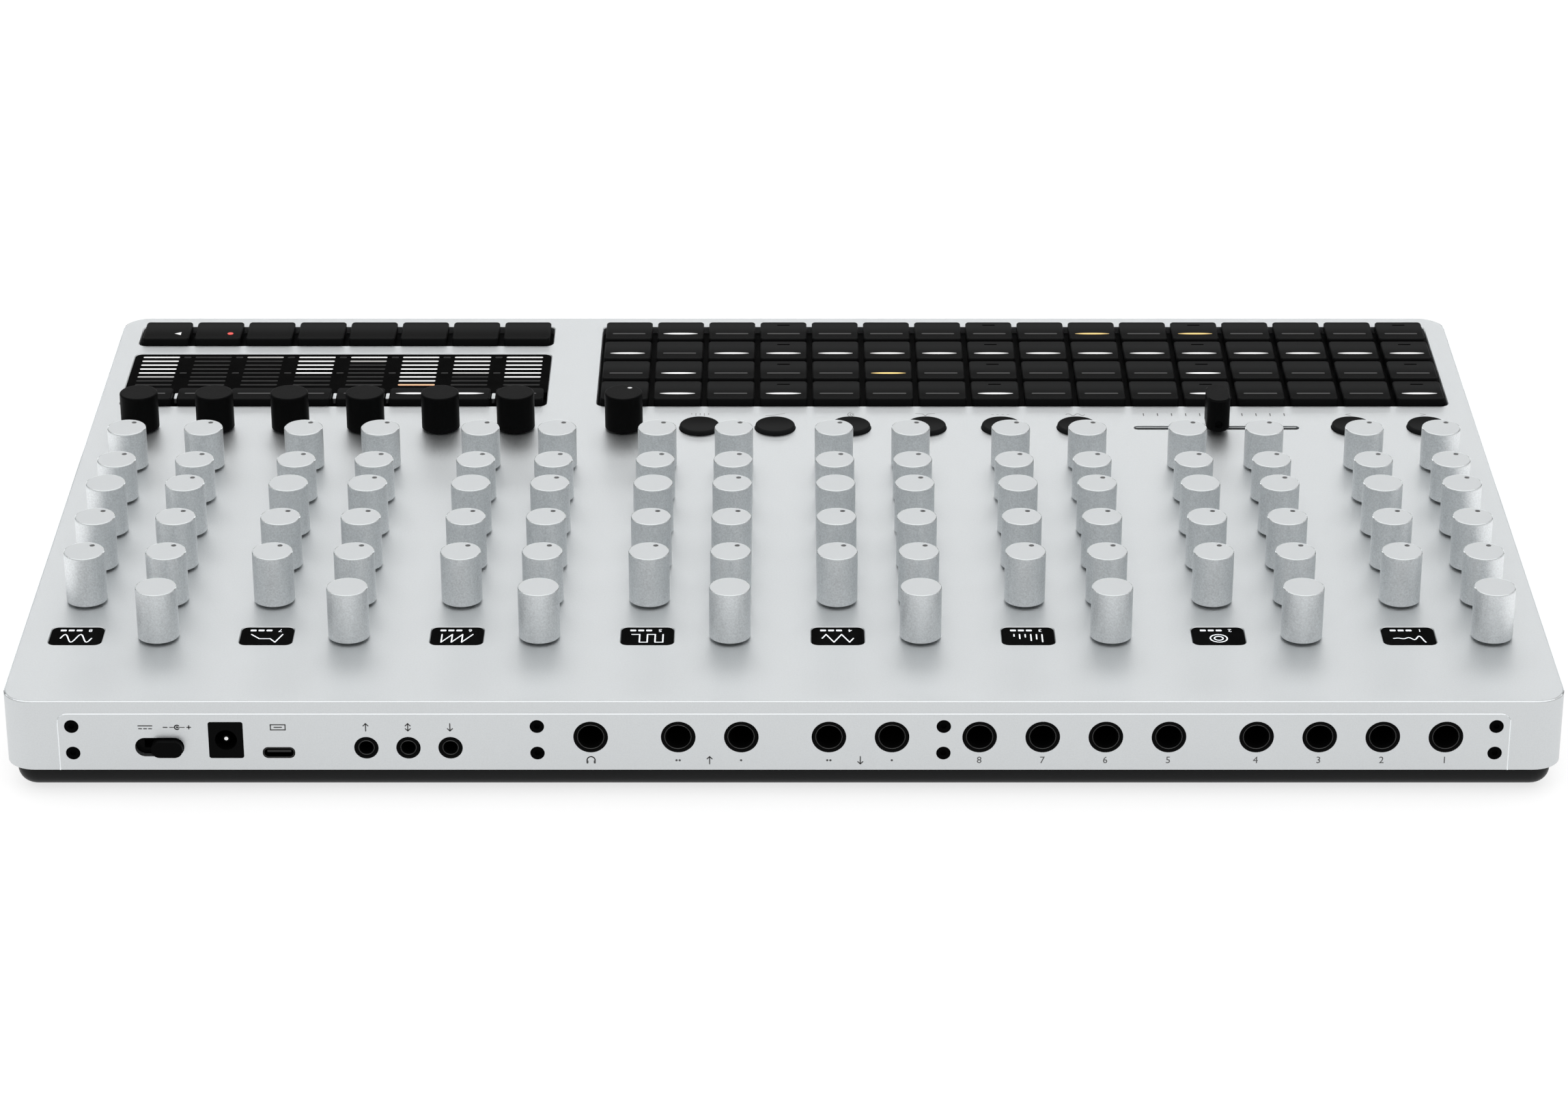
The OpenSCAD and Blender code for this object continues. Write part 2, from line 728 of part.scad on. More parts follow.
module key_board() {
    x = body_w / 2 - wall_t - board_edge_gap;
    front = -body_d / 2 + wall_t + board_edge_gap - deck_margin;
    color("darkgreen") board(-x, x, front, fields_rear + deck_margin, board_top);
}

module jack_board() {
    color("darkgreen")
        board(-jack_board_x, jack_board_x, rear_y - jack_l - plate_t - jack_board_front_gap,
            rear_y - rear_wall_t - jack_board_front_gap, jack_board_top);
}

module main_board() {
    color("darkgreen")
        translate([-main_board_w / 2, main_board_y - main_board_d / 2, jack_board_top - board_t])
            cube([main_board_w, main_board_d, board_t]);
    color("#202020") for (i = [-1:1])
        translate([i * main_board_w * chip_pitch_share, main_board_y, jack_board_top])
            linear_extrude(chip_h) square(main_board_d * chip_share, center = true);
}

// Sockets

module line_jacks() {
    color("#26282a") for (i = [0:jack_count - 1])
        jack(jack_x(i), panel_top - jack_drop, jack_w, jack_h, jack_l,
            jack_ring_d, jack_bore_r, jack_mouth, jack_l - jack_end);
}

module small_jacks() {
    h = 2 * (panel_top - mini_drop - jack_board_top);
    color("#26282a") for (x = mini_xs)
        jack(x, panel_top - mini_drop, mini_body_w, h, mini_l,
            mini_ring_d, mini_bore_r, mini_mouth, mini_bore_l);
}

// Jack with a body behind the rear panel, a ring through it, a bore and a cone at its mouth
module jack(x, z, w, h, l, ring_d, bore_r, mouth, bore_l) {
    face = rear_y - jack_sink;
    difference() {
        union() {
            translate([x - w / 2, rear_y - plate_t - l, z - h / 2]) cube([w, l - fit_gap, h]);
            inward(x, z, face, plate_t, ring_d / 2);
        }
        inward(x, z, face + cut, bore_l + cut, bore_r);
        translate([x, face, z]) rotate([90, 0, 0]) cylinder(jack_lead, r1 = bore_r + mouth, r2 = bore_r);
    }
}

// Block under a socket whose body doesn't reach the board
module plinth(x, w, top, l) {
    translate([x - w / 2, rear_y - plate_t - l, jack_board_top])
        cube([w, l - slide_gap, top - jack_board_top]);
}

module dc_socket() {
    z = panel_top - dc_drop;
    color("#1a1c1e") difference() {
        union() {
            rear_extrude(dc_x, z, rear_y - fit_gap, dc_l) rounded(dc_w, dc_h, dc_r);
            plinth(dc_x, dc_w * plinth_share, z, dc_l - plate_t);
        }
        inward(dc_x, z, rear_y + cut, dc_depth + cut, dc_bore_d / 2);
    }
    color("silver") inward(dc_x, z, rear_y - dc_pin_sink, dc_depth - dc_pin_sink, dc_pin_d / 2);
}

module usb_socket() {
    z = panel_top - usb_drop;
    color("silver") difference() {
        union() {
            rear_extrude(usb_x, z, rear_y - fit_gap, usb_l) rounded(usb_w, usb_h, usb_h / 2 - fit_gap);
            plinth(usb_x, usb_w * plinth_share, z, usb_l - plate_t);
        }
        rear_extrude(usb_x, z, rear_y + cut, usb_depth + cut)
            rounded(usb_w - 2 * usb_wall, usb_h - 2 * usb_wall, usb_h / 2 - usb_wall - fit_gap);
    }
    color("#202224") rear_extrude(usb_x, z, rear_y - usb_tongue_sink, usb_depth - usb_tongue_sink)
        square([usb_tongue_w, usb_tongue_h], center = true);
}

module power_switch_body() {
    z = panel_top - switch_drop;
    h = 2 * (z - jack_board_top);
    l = switch_body_l;
    color("#1a1c1e") difference() {
        translate([power_x - switch_body_w / 2, rear_y - plate_t - switch_face_gap - l, z - h / 2])
            cube([switch_body_w, l, h]);
        translate([power_x, rear_y - plate_t, z])
            cube([tongue_w + switch_travel + 2 * tongue_gap, 2 * (tongue_l + tongue_gap + switch_face_gap),
                tongue_h + 2 * tongue_gap], center = true);
    }
}

// Slider at the end of its slot that is nearer the middle of the case
module power_switch_cap() {
    x = power_x - switch_travel / 2;
    z = panel_top - switch_drop;
    color("#151617") {
        rear_extrude(x, z, rear_y + slider_proud, slider_proud + plate_t - fit_gap)
            rounded(slider_w, slider_h, slider_h / 2 - fit_gap);
        translate([x - tongue_w / 2, rear_y - plate_t - tongue_l, z - tongue_h / 2])
            cube([tongue_w, tongue_l + plate_t / 2, tongue_h]);
    }
}

// Displays and meter

module display_modules() {
    z = panel_top - display_sink;
    color("#0a0b0c") for (c = [1:channels]) translate([knob_x(c, 1), rear_y - display_inset, 0]) {
        translate([0, 0, panel_under - display_body_h / 2])
            linear_extrude(z - panel_under + display_body_h / 2) rounded(display_w, display_d, display_r);
        translate([-display_w / 2 - display_lip, -display_d / 2 - display_lip, panel_under - display_body_h])
            cube([display_w + 2 * display_lip, display_d + 2 * display_lip, display_body_h]);
    }
}

module meter_window() {
    w = side_right - side_left - 2 * meter_gap;
    d = glass_rear - meter_front - meter_gap;
    color("#0c0d0f") translate([(side_left + side_right) / 2, glass_rear, panel_under])
        linear_extrude(panel_t - meter_sink) difference() {
            rounded(w, 2 * d, cutout_r - meter_gap);
            translate([-w, 0]) square([2 * w, 2 * d]);
        }
}

// Pots, encoders and switches

// Control below the panel: body on the board, collar in the panel's hole, blind hole for the shaft
module control_body(x, y, w, l) {
    translate([x, y, 0]) difference() {
        union() {
            translate([-w / 2, -l / 2, board_top]) cube([w, l, control_h - slide_gap]);
            translate([0, 0, board_top]) cylinder(panel_top - collar_drop - board_top, d = collar_d);
        }
        translate([0, 0, board_top + pot_floor]) cylinder(panel_top, d = shaft_d + 2 * shaft_play);
    }
}

module pot_bodies() {
    color("#3a5a40") {
        for (k = knob_places) if (!is_encoder(k[1], k[2]))
            control_body(knob_x(k[0], k[2]), row_y(k[1]), pot_w, pot_l);
        control_body(main_knob_x, black_y, pot_w, pot_l);
    }
}

module encoder_bodies() {
    color("#6a6e72") {
        for (k = knob_places) if (is_encoder(k[1], k[2]))
            control_body(knob_x(k[0], k[2]), row_y(k[1]), encoder_w, encoder_w);
        for (k = [1:menu_knobs]) control_body(menu_x(k), black_y, encoder_w, encoder_w);
    }
}

module tact_switch(x, y) {
    translate([x, y, board_top]) difference() {
        translate([-switch_w / 2, -switch_w / 2, 0]) cube([switch_w, switch_w, switch_h]);
        translate([0, 0, switch_h - switch_well]) cylinder(switch_h, d = stem_d + stem_hole_gap / 2);
    }
}

module key_switches() {
    color("#303234") {
        for (i = [0:step_cols - 1], row = [0:step_rows - 1]) tact_switch(step_x(i), key_y(row));
        for (i = [0:side_cols - 1], y = [key_y(0), track_y]) tact_switch(side_x(i), y);
        for (x = concat(effect_xs, page_xs)) tact_switch(x, black_y);
    }
}

// Black deck under the key cut-outs, which guides the keys' stems
module key_deck() {
    color("#101112") difference() {
        union() {
            deck_plate(step_left, step_right);
            deck_plate(side_left, side_right);
        }
        for (i = [0:step_cols - 1], row = [0:step_rows - 1]) deck_hole(step_x(i), key_y(row));
        for (i = [0:side_cols - 1], y = [key_y(0), track_y]) deck_hole(side_x(i), y);
    }
}

module deck_plate(x0, x1) {
    translate([x0 - deck_margin, fields_front - deck_margin, panel_under - deck_t])
        cube([x1 - x0 + 2 * deck_margin, fields_rear - fields_front + 2 * deck_margin, deck_t]);
}

module deck_hole(x, y) {
    translate([x, y, panel_under - deck_t - cut]) cylinder(deck_t + 2 * cut, d = stem_d + stem_hole_gap);
}

module fader_body() {
    l = fader_slot_l + 2 * fader_body_margin;
    slot = fader_travel + lever_w + 2 * fader_end_gap;
    color("#505458") difference() {
        translate([fader_x - l / 2, black_y - fader_body_d / 2, board_top])
            cube([l, fader_body_d, control_h - slide_gap]);
        translate([fader_x - slot / 2, black_y - lever_t / 2 - fader_slot_gap, board_top + fader_floor])
            cube([slot, lever_t + 2 * fader_slot_gap, control_h]);
    }
}

// Moving controls

// Knob cap with a blind bore from below, and the control's shaft inside it
module knob(x, y, h, dot) {
    r = knob_d / 2;
    shaft_top = knob_gap + h - cap_roof - shaft_lift;
    translate([x, y, panel_top + knob_gap]) difference() {
        rotate_extrude() {
            square([r, h - knob_edge_r]);
            square([r - knob_edge_r, h]);
            translate([r - knob_edge_r, h - knob_edge_r]) circle(knob_edge_r);
        }
        translate([0, 0, -cut]) cylinder(h - cap_roof + cut, d = shaft_d + 2 * fit_gap);
        if (dot) rotate([0, 0, -dot_angle]) translate([0, -r + dot_margin + dot_d / 2, h - dot_depth])
            cylinder(dot_depth + cut, d = dot_d);
    }
    color("dimgray") translate([x, y, board_top + pot_floor + shaft_lift])
        cylinder(panel_top + shaft_top - board_top - pot_floor - shaft_lift, d = shaft_d);
}

module silver_knob(c, r, side) {
    color("#d4d7da") knob(knob_x(c, side), row_y(r), silver_h(r), !is_encoder(r, side));
}

module black_knob(x, dot) {
    color("#1b1d1f") knob(x, black_y, black_knob_h, dot);
}

// Every silver knob but channel 1's and the level knobs
module channel_knobs() {
    for (k = knob_places) if (k[0] > 1 && k[1] > 0) silver_knob(k[0], k[1], k[2]);
}

module key(x, y, d) {
    z = panel_top + key_rise - key_cap_h;
    translate([x, y, z]) slab(key_w, d, key_cap_h, key_corner_r, key_chamfer);
    translate([x, y, stem_tip]) cylinder(z + key_cap_h / 2 - stem_tip, d = stem_d);
}

module step_key_row(row) {
    color("#17191b") for (i = [0:step_cols - 1]) key(step_x(i), key_y(row), key_d);
}

module side_key(i) {
    color("#17191b") key(side_x(i), key_y(0), key_d);
}

module track_key(i) {
    color("#17191b") key(side_x(i), track_y, track_key_d);
}

// Round button with a flange that holds it under the panel
module round_button(x) {
    r = button_d / 2;
    low = panel_under - slide_gap;
    h = panel_top + button_rise - low;
    color("#191b1d") translate([x, black_y, 0]) {
        translate([0, 0, low]) rotate_extrude() {
            square([r, h - button_edge_r]);
            square([r - button_edge_r, h]);
            translate([r - button_edge_r, h - button_edge_r]) circle(button_edge_r);
        }
        translate([0, 0, low - flange_t]) cylinder(flange_t, r = r + flange_margin);
        translate([0, 0, stem_tip]) cylinder(low - stem_tip, d = stem_d);
    }
}

module fader_cap() {
    z = panel_top + fader_cap_gap;
    lever_top = z + lever_rise;
    lever_foot = board_top + fader_floor + slide_gap;
    color("#17191b") translate([fader_x, black_y, z]) difference() {
        union() {
            translate([0, 0, fader_edge])
                slab(fader_cap_w, fader_cap_d, fader_cap_h - fader_edge, fader_cap_r, fader_edge);
            translate([0, 0, fader_edge]) mirror([0, 0, 1])
                tapered(fader_cap_w, fader_cap_d, fader_edge, fader_cap_r, fader_edge);
        }
        translate([-lever_w / 2 - fit_gap, -lever_t / 2 - fit_gap, -cut])
            cube([lever_w + 2 * fit_gap, lever_t + 2 * fit_gap, lever_rise + fit_gap + cut]);
        translate([0, fader_cap_d / 2 + cut, grub_rise]) rotate([90, 0, 0])
            cylinder(grub_depth + cut, d = grub_d);
    }
    color("silver") translate([fader_x - lever_w / 2, black_y - lever_t / 2, lever_foot])
        cube([lever_w, lever_t, lever_top - lever_foot]);
}

top_case();
rear_panel();
bottom_tray();
rubber_feet();
rear_screws();
base_screws();
control_board();
key_board();
jack_board();
main_board();
key_deck();
line_jacks();
small_jacks();
dc_socket();
usb_socket();
power_switch_body();
display_modules();
meter_window();
pot_bodies();
encoder_bodies();
key_switches();
fader_body();
channel_knobs();
fader_cap();
power_switch_cap();
black_knob(main_knob_x, true);  // main_volume_knob
for (x = effect_xs) round_button(x);  // effect_buttons
for (x = page_xs) round_button(x);  // page_buttons
side_key(side_cols - 1);  // play_key
side_key(side_cols - 2);  // record_key
for (i = [0:side_cols - 3]) side_key(i);  // function_keys
for (i = [0:side_cols - 1]) track_key(i);  // track_keys
for (k = [1:menu_knobs]) black_knob(menu_x(k), false);
for (row = [0:step_rows - 1]) step_key_row(row);
for (c = [2:channels]) silver_knob(c, 0, -1);
for (i = [0:len(channel_1_names) - 1])
    silver_knob(1, knob_places[i][1], knob_places[i][2]);
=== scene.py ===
import json
import math

import bmesh
import bpy
from mathutils import Matrix, Vector


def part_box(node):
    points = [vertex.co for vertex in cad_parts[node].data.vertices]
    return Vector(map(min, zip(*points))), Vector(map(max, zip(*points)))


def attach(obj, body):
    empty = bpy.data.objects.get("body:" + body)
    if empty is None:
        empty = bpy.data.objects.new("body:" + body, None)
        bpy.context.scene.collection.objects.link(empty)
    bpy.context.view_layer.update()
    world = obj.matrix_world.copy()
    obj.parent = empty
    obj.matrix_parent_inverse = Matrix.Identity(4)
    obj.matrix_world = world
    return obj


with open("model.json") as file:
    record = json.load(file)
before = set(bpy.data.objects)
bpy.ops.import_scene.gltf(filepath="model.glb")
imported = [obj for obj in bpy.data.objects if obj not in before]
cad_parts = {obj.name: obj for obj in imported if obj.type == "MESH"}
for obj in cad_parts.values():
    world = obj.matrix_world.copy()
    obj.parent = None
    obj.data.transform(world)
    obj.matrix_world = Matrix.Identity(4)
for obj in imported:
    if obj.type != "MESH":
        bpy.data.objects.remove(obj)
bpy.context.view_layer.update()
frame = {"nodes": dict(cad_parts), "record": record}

MM = 0.001

# Camera at the photograph's place: behind the rear face, looking down at the panel

IMAGE_WIDTH = 2296
FOCAL_PIXELS = 6812
SENSOR_WIDTH = 36
CAMERA_DISTANCE = 1303.19 * MM
CAMERA_HEIGHT = 628.64 * MM
CAMERA_SIDE = -0.03 * MM
CAMERA_PITCH = math.radians(25.359)
CLIP_START = 0.05
CLIP_END = 50


def make_camera():
    data = bpy.data.cameras.new("photo_camera")
    data.sensor_width = SENSOR_WIDTH
    data.lens = FOCAL_PIXELS / IMAGE_WIDTH * SENSOR_WIDTH
    data.clip_start = CLIP_START
    data.clip_end = CLIP_END
    camera = bpy.data.objects.new("photo_camera", data)
    camera.location = (CAMERA_SIDE, CAMERA_DISTANCE, CAMERA_HEIGHT)
    camera.rotation_euler = (math.pi / 2 - CAMERA_PITCH, 0, math.pi)
    bpy.context.scene.collection.objects.link(camera)
    bpy.context.scene.camera = camera


make_camera()


# Shader wiring

class Shade:
    """A shader value; sums and products with it add Math nodes."""

    def __init__(self, wiring, socket):
        self.wiring = wiring
        self.socket = socket

    def math(self, operation, first, second):
        return self.wiring.node("ShaderNodeMath", {"operation": operation}, {0: first, 1: second})

    def __add__(self, other):
        return self.math("ADD", self, other)

    def __sub__(self, other):
        return self.math("SUBTRACT", self, other)

    def __rsub__(self, other):
        return self.math("SUBTRACT", other, self)

    def __mul__(self, other):
        return self.math("MULTIPLY", self, other)

    __radd__ = __add__
    __rmul__ = __mul__

    def cosine(self):
        return self.math("COSINE", self, 0.0)

    def capped(self, limit):
        return self.math("MINIMUM", self, limit)


class Wiring:
    """A node tree that is being wired."""

    def __init__(self, tree):
        self.tree = tree

    def node(self, kind, settings=None, inputs=None, output=0):
        """Adds a node: its settings first, then its inputs."""
        made = self.tree.nodes.new(kind)
        for key, value in (settings or {}).items():
            setattr(made, key, value)
        for key, value in (inputs or {}).items():
            self.feed(made.inputs[key], value)
        return Shade(self, made.outputs[output])

    def feed(self, target, value):
        if isinstance(value, Shade):
            self.tree.links.new(value.socket, target)
        else:
            target.default_value = value

    def axis(self, vector, name):
        return self.node("ShaderNodeSeparateXYZ", {}, {"Vector": vector}, output=name)

    def blend(self, factor, first, second):
        settings = {"data_type": "RGBA"}
        return self.node("ShaderNodeMix", settings, {0: factor, 6: first, 7: second}, output=2)


class Finish(Wiring):
    """A material round one Principled shader."""

    def __init__(self, name, **fixed):
        self.material = bpy.data.materials.new(name)
        self.material.use_nodes = True
        super().__init__(self.material.node_tree)
        self.shader = self.tree.nodes["Principled BSDF"]
        self.place = self.node("ShaderNodeTexCoord", output="Object")
        for key, value in fixed.items():
            self.set(key.replace("_", " "), value)

    def set(self, label, value):
        self.feed(self.shader.inputs[label], value)

    def grain(self, size, detail=2.0, harsh=0.5):
        """Noise whose grains are about that size."""
        inputs = {"Vector": self.place, "Scale": 1 / size, "Detail": detail, "Roughness": harsh}
        return self.node("ShaderNodeTexNoise", {}, inputs)

    def roughen(self, roughness, *swings):
        """Roughness that swings round a value with each (noise, swing) pair."""
        for noise, swing in swings:
            roughness = roughness + (noise - NOISE_MEAN) * swing
        self.set("Roughness", roughness)

    def relief(self, height, depth, strength):
        inputs = {"Height": height, "Distance": depth, "Strength": strength}
        self.set("Normal", self.node("ShaderNodeBump", {}, inputs))


def grey(level, tint=(1.0, 1.0, 1.0)):
    return (level * tint[0], level * tint[1], level * tint[2], 1.0)


# Materials

COOL = (0.965, 0.995, 1.01)
GRAIN_GAIN = 2.5
MATT_IOR = 1.25
PLASTIC_GRAIN = 0.25 * MM
PLASTIC_RELIEF = 0.012 * MM
NOISE_MEAN = 0.5
GRAIN_SWING = 0.2

# Grid of the step keys, which the keys' painted highlight and the lights' fading follow

KEY_WIDTH = 15.3 * MM
STEP_COLUMNS = 16
STEP_ROWS = 4
# shift of each key's painted highlight towards the user, as a share of the row pitch
PAINTED_HIGHLIGHT_SHARE = 0.25

first_low, first_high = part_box("step_keys_row_1")
last_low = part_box(f"step_keys_row_{STEP_ROWS}")[0]
KEY_COLUMN_X = first_low.x + KEY_WIDTH / 2
KEY_COLUMN_PITCH = (first_high.x - first_low.x - KEY_WIDTH) / (STEP_COLUMNS - 1)
KEY_ROW_Y = (first_low.y + first_high.y) / 2
KEY_ROW_PITCH = (last_low.y - first_low.y) / (STEP_ROWS - 1)


def blasted_metal(name, level, roughness, grain_size=0.35 * MM, contrast=0.2, depth=0.03 * MM,
                  top_share=1.0, painted_top_shade=1.0):
    """Anodised aluminium with a bead-blasted skin.

    Faces that look up have a share of its grain, and a tone of their own as painted shade.
    """
    f = Finish(name, Metallic=1.0)
    upward = f.axis(f.node("ShaderNodeTexCoord", output="Normal"), "Z")
    gain = (1.0 - upward * (1.0 - top_share)).capped(1.0) * GRAIN_GAIN
    fine = (f.grain(grain_size, detail=3.0, harsh=0.7) - NOISE_MEAN) * gain + NOISE_MEAN
    cloud = f.grain(size=40 * MM, detail=1.0)
    dark, pale = grey(level * (1 - contrast), COOL), grey(level * (1 + contrast), COOL)
    colour = f.blend(fine, dark, pale)
    # painted shade: faces that look up take a darker tone of their own than the sides
    if painted_top_shade != 1.0:
        colour = f.blend(upward, colour, grey(level * painted_top_shade, COOL))
    f.set("Base Color", colour)
    f.roughen(roughness, (fine, GRAIN_SWING), (cloud, 0.05))
    f.relief(fine, depth, strength=0.5)
    return f.material


def moulded(name, level, roughness, gloss, grain_size=PLASTIC_GRAIN, depth=PLASTIC_RELIEF):
    """Moulded plastic or rubber with a fine spark-eroded grain."""
    f = Finish(name, IOR=MATT_IOR, Specular_IOR_Level=gloss)
    fine = f.grain(grain_size, detail=2.0, harsh=0.6)
    patch = f.grain(size=9 * MM, detail=2.0)
    dark, pale = grey(level * 0.75, COOL), grey(level * 1.3, COOL)
    f.set("Base Color", f.blend(fine * 0.7 + patch * 0.3, dark, pale))
    f.roughen(roughness, (fine, GRAIN_SWING), (patch, 0.06))
    f.relief(fine, depth, strength=0.6)
    return f.material


def plated_steel(name, level, roughness):
    """Metal with fine lines that run along Y."""
    f = Finish(name, Metallic=1.0)
    streak = f.node("ShaderNodeMapping", {}, {"Vector": f.place, "Scale": (1.0, 0.08, 1.0)})
    inputs = {"Vector": streak, "Scale": 1 / (0.3 * MM), "Detail": 2.0}
    lines = f.node("ShaderNodeTexNoise", {}, inputs)
    f.set("Base Color", f.blend(lines, grey(level * 0.85), grey(level * 1.08)))
    f.roughen(roughness, (lines, 0.15))
    return f.material


def circuit_board(name):
    """Solder mask over a faint pattern of traces."""
    f = Finish(name, Roughness=0.4)
    settings = {"distance": "MANHATTAN", "feature": "DISTANCE_TO_EDGE"}
    cells = f.node("ShaderNodeTexVoronoi", settings, {"Vector": f.place, "Scale": 1 / (4 * MM)})
    trace, mask = (0.03, 0.17, 0.07, 1), (0.01, 0.09, 0.04, 1)
    f.set("Base Color", f.blend(cells * 3.0, trace, mask))
    return f.material


def black_glass(name):
    """Glass with an anti-glare coating over a black mask."""
    f = Finish(name, IOR=MATT_IOR, Specular_IOR_Level=0.02)
    haze = f.grain(size=6 * MM, detail=1.0)
    f.set("Base Color", f.blend(haze, grey(0.002), grey(0.004)))
    f.set("Roughness", 0.08 + haze * 0.06)
    return f.material


def key_with_painted_highlight(name, dark, pale, roughness, gloss):
    """Key plastic with a painted highlight towards the user's edge of each key, like a lit dish."""
    f = Finish(name, IOR=MATT_IOR, Specular_IOR_Level=gloss)
    fine = f.grain(size=0.3 * MM, detail=2.0, harsh=0.6)
    across = f.axis(f.place, "Y") - KEY_ROW_Y + KEY_ROW_PITCH * PAINTED_HIGHLIGHT_SHARE
    # painted highlight: a wave in the base colour, palest towards the user's edge of each key
    painted_highlight = (across * (2 * math.pi / KEY_ROW_PITCH)).cosine() * 0.4 + 0.3
    f.set("Base Color", f.blend(painted_highlight + fine * 0.4, grey(dark, COOL), grey(pale, COOL)))
    f.roughen(roughness, (fine, GRAIN_SWING))
    f.relief(fine, depth=0.01 * MM, strength=0.5)
    return f.material


def base_plastic(name, dark, pale):
    """Base plastic with painted light: paler towards its lower edge, where the table lights it."""
    f = Finish(name, Specular_IOR_Level=0.12)
    fine = f.grain(PLASTIC_GRAIN, detail=2.0, harsh=0.6)
    low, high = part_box("bottom_tray")
    span = {"Value": f.axis(f.place, "Z"), "From Min": low.z, "From Max": high.z,
            "To Min": 1.0, "To Max": 0.0}
    # painted light: the colour grows paler from the top of the base to its lower edge
    painted_table_light = f.node("ShaderNodeMapRange", {}, span)
    f.set("Base Color", f.blend(painted_table_light, grey(dark, COOL), grey(pale, COOL)))
    f.roughen(0.38, (fine, GRAIN_SWING))
    f.relief(fine, PLASTIC_RELIEF, strength=0.6)
    return f.material


def lit(name, colour, strength, shell=0.4, taper=False):
    """A light guide that glows; with a taper it fades towards both ends of the key's line."""
    f = Finish(name, Roughness=0.35, Emission_Strength=strength)
    f.set("Base Color", (*(c * shell for c in colour), 1.0))
    if taper:
        along = f.axis(f.place, "X") - KEY_COLUMN_X
        glow = (along * (2 * math.pi / KEY_COLUMN_PITCH)).cosine() * 0.6 + 0.75
    else:
        glow = f.grain(size=5 * MM, detail=1.0) * 0.2 + 0.85
    f.set("Emission Color", f.blend(glow.capped(1.0), grey(0.0), (*colour, 1.0)))
    return f.material


def ink(name, level, roughness=0.5, gloss=0.3):
    """Thin printed ink, a little uneven."""
    f = Finish(name, Specular_IOR_Level=gloss)
    uneven = f.grain(size=0.15 * MM, detail=2.0)
    f.set("Base Color", f.blend(uneven, grey(level * 0.9), grey(level * 1.1)))
    f.roughen(roughness, (uneven, 0.1))
    return f.material


WHITE = (1.0, 1.0, 1.0)
FINISHES = {
    "case_aluminium": blasted_metal("case_aluminium", level=0.66, roughness=0.45,
                                    grain_size=0.5 * MM, contrast=0.06),
    # knob tops carry painted shade, darker than the knobs' sides
    "knob_silver": blasted_metal("knob_silver", level=0.85, roughness=0.47, grain_size=0.55 * MM,
                                 contrast=0.14, depth=0.1 * MM, top_share=0.15, painted_top_shade=0.73),
    # the base carries painted light from the table, paler at its lower edge
    "base_black": base_plastic("base_black", dark=0.003, pale=0.035),
    "foot_rubber": moulded("foot_rubber", level=0.02, roughness=0.8, gloss=0.2,
                           grain_size=0.5 * MM),
    "black_steel": moulded("black_steel", level=0.003, roughness=0.5, gloss=0.04),
    "board_green": circuit_board("board_green"),
    "deck_black": moulded("deck_black", level=0.004, roughness=0.6, gloss=0.08),
    "socket_black": moulded("socket_black", level=0.003, roughness=0.28, gloss=0.1,
                            depth=0.004 * MM),
    "shell_steel": plated_steel("shell_steel", level=0.035, roughness=0.3),
    "display_black": black_glass("display_black"),
    "pot_green": moulded("pot_green", level=0.07, roughness=0.5, gloss=0.4),
    "housing_steel": plated_steel("housing_steel", level=0.5, roughness=0.35),
    "switch_black": moulded("switch_black", level=0.02, roughness=0.5, gloss=0.4),
    "knob_black": moulded("knob_black", level=0.004, roughness=0.42, gloss=0.08,
                          grain_size=0.5 * MM, depth=0.03 * MM),
    # keys carry a painted highlight in their base colour
    "key_black": key_with_painted_highlight("key_black", dark=0.003, pale=0.018, roughness=0.36, gloss=0.03),
}
WHITE_LINE = lit("white_line", WHITE, strength=0.95, shell=0.1, taper=True)
AMBER_LINE = lit("amber_line", (1.0, 0.7, 0.22), strength=0.9, shell=0.1, taper=True)
WHITE_LIGHT = lit("white_light", WHITE, strength=0.85, shell=0.1)
DIM_LIGHT = lit("dim_light", (1.0, 0.99, 0.97), strength=0.28, shell=0.2)
ORANGE_LIGHT = lit("orange_light", (1.0, 0.52, 0.28), strength=0.9)
RED_LIGHT = lit("red_light", (0.95, 0.06, 0.04), strength=0.8)
SCREEN_LIGHT = lit("screen_light", (0.93, 0.96, 1.0), strength=0.9)
UNLIT = ink("unlit_guide", level=0.085, roughness=0.4, gloss=0.04)
UNLIT_BAR = ink("unlit_bar", level=0.022, roughness=0.4, gloss=0.04)
BLACK_INK = ink("black_ink", level=0.0004, gloss=0.0)
GREY_INK = ink("grey_ink", level=0.13)
PALE_INK = ink("pale_ink", level=0.34)
DOT_INK = ink("dot_ink", level=0.11)
WHITE_INK = ink("white_ink", level=0.75)
# slot felts, pale enough to be partly painted light for the slot's lit wall
SLOT_FELT_AND_WALL_LIGHT = moulded("slot_felt_and_wall_light", level=0.5, roughness=0.8, gloss=0.1, grain_size=0.5 * MM)
BRIGHT_STEEL = plated_steel("bright_steel", level=0.8, roughness=0.22)
# painted highlight for the rings round the jacks' mouths
PAINTED_RING_HIGHLIGHT = plated_steel("painted_ring_highlight", level=0.09, roughness=0.3)
# painted highlight: a bright metal for thin beads that stand in for light on cut edges
PAINTED_EDGE_HIGHLIGHT = blasted_metal("painted_edge_highlight", level=0.95, roughness=0.2, contrast=0.02, depth=0.005 * MM)


def dress_solids():
    for row in frame["record"]["subparts"]:
        node = frame["nodes"][row["node"]]
        node.data.materials.clear()
        node.data.materials.append(FINISHES[row["material_slot"]])


dress_solids()


# Mesh helpers: a mark is drawn in the plane of its own matrix, whose Z points out of the surface

PRINT_SINK = 0.02 * MM
PRINT_RISE = 0.02 * MM
LIGHT_RISE = 0.04 * MM
TINY = 1e-7
UP = Vector((0, 0, 1))

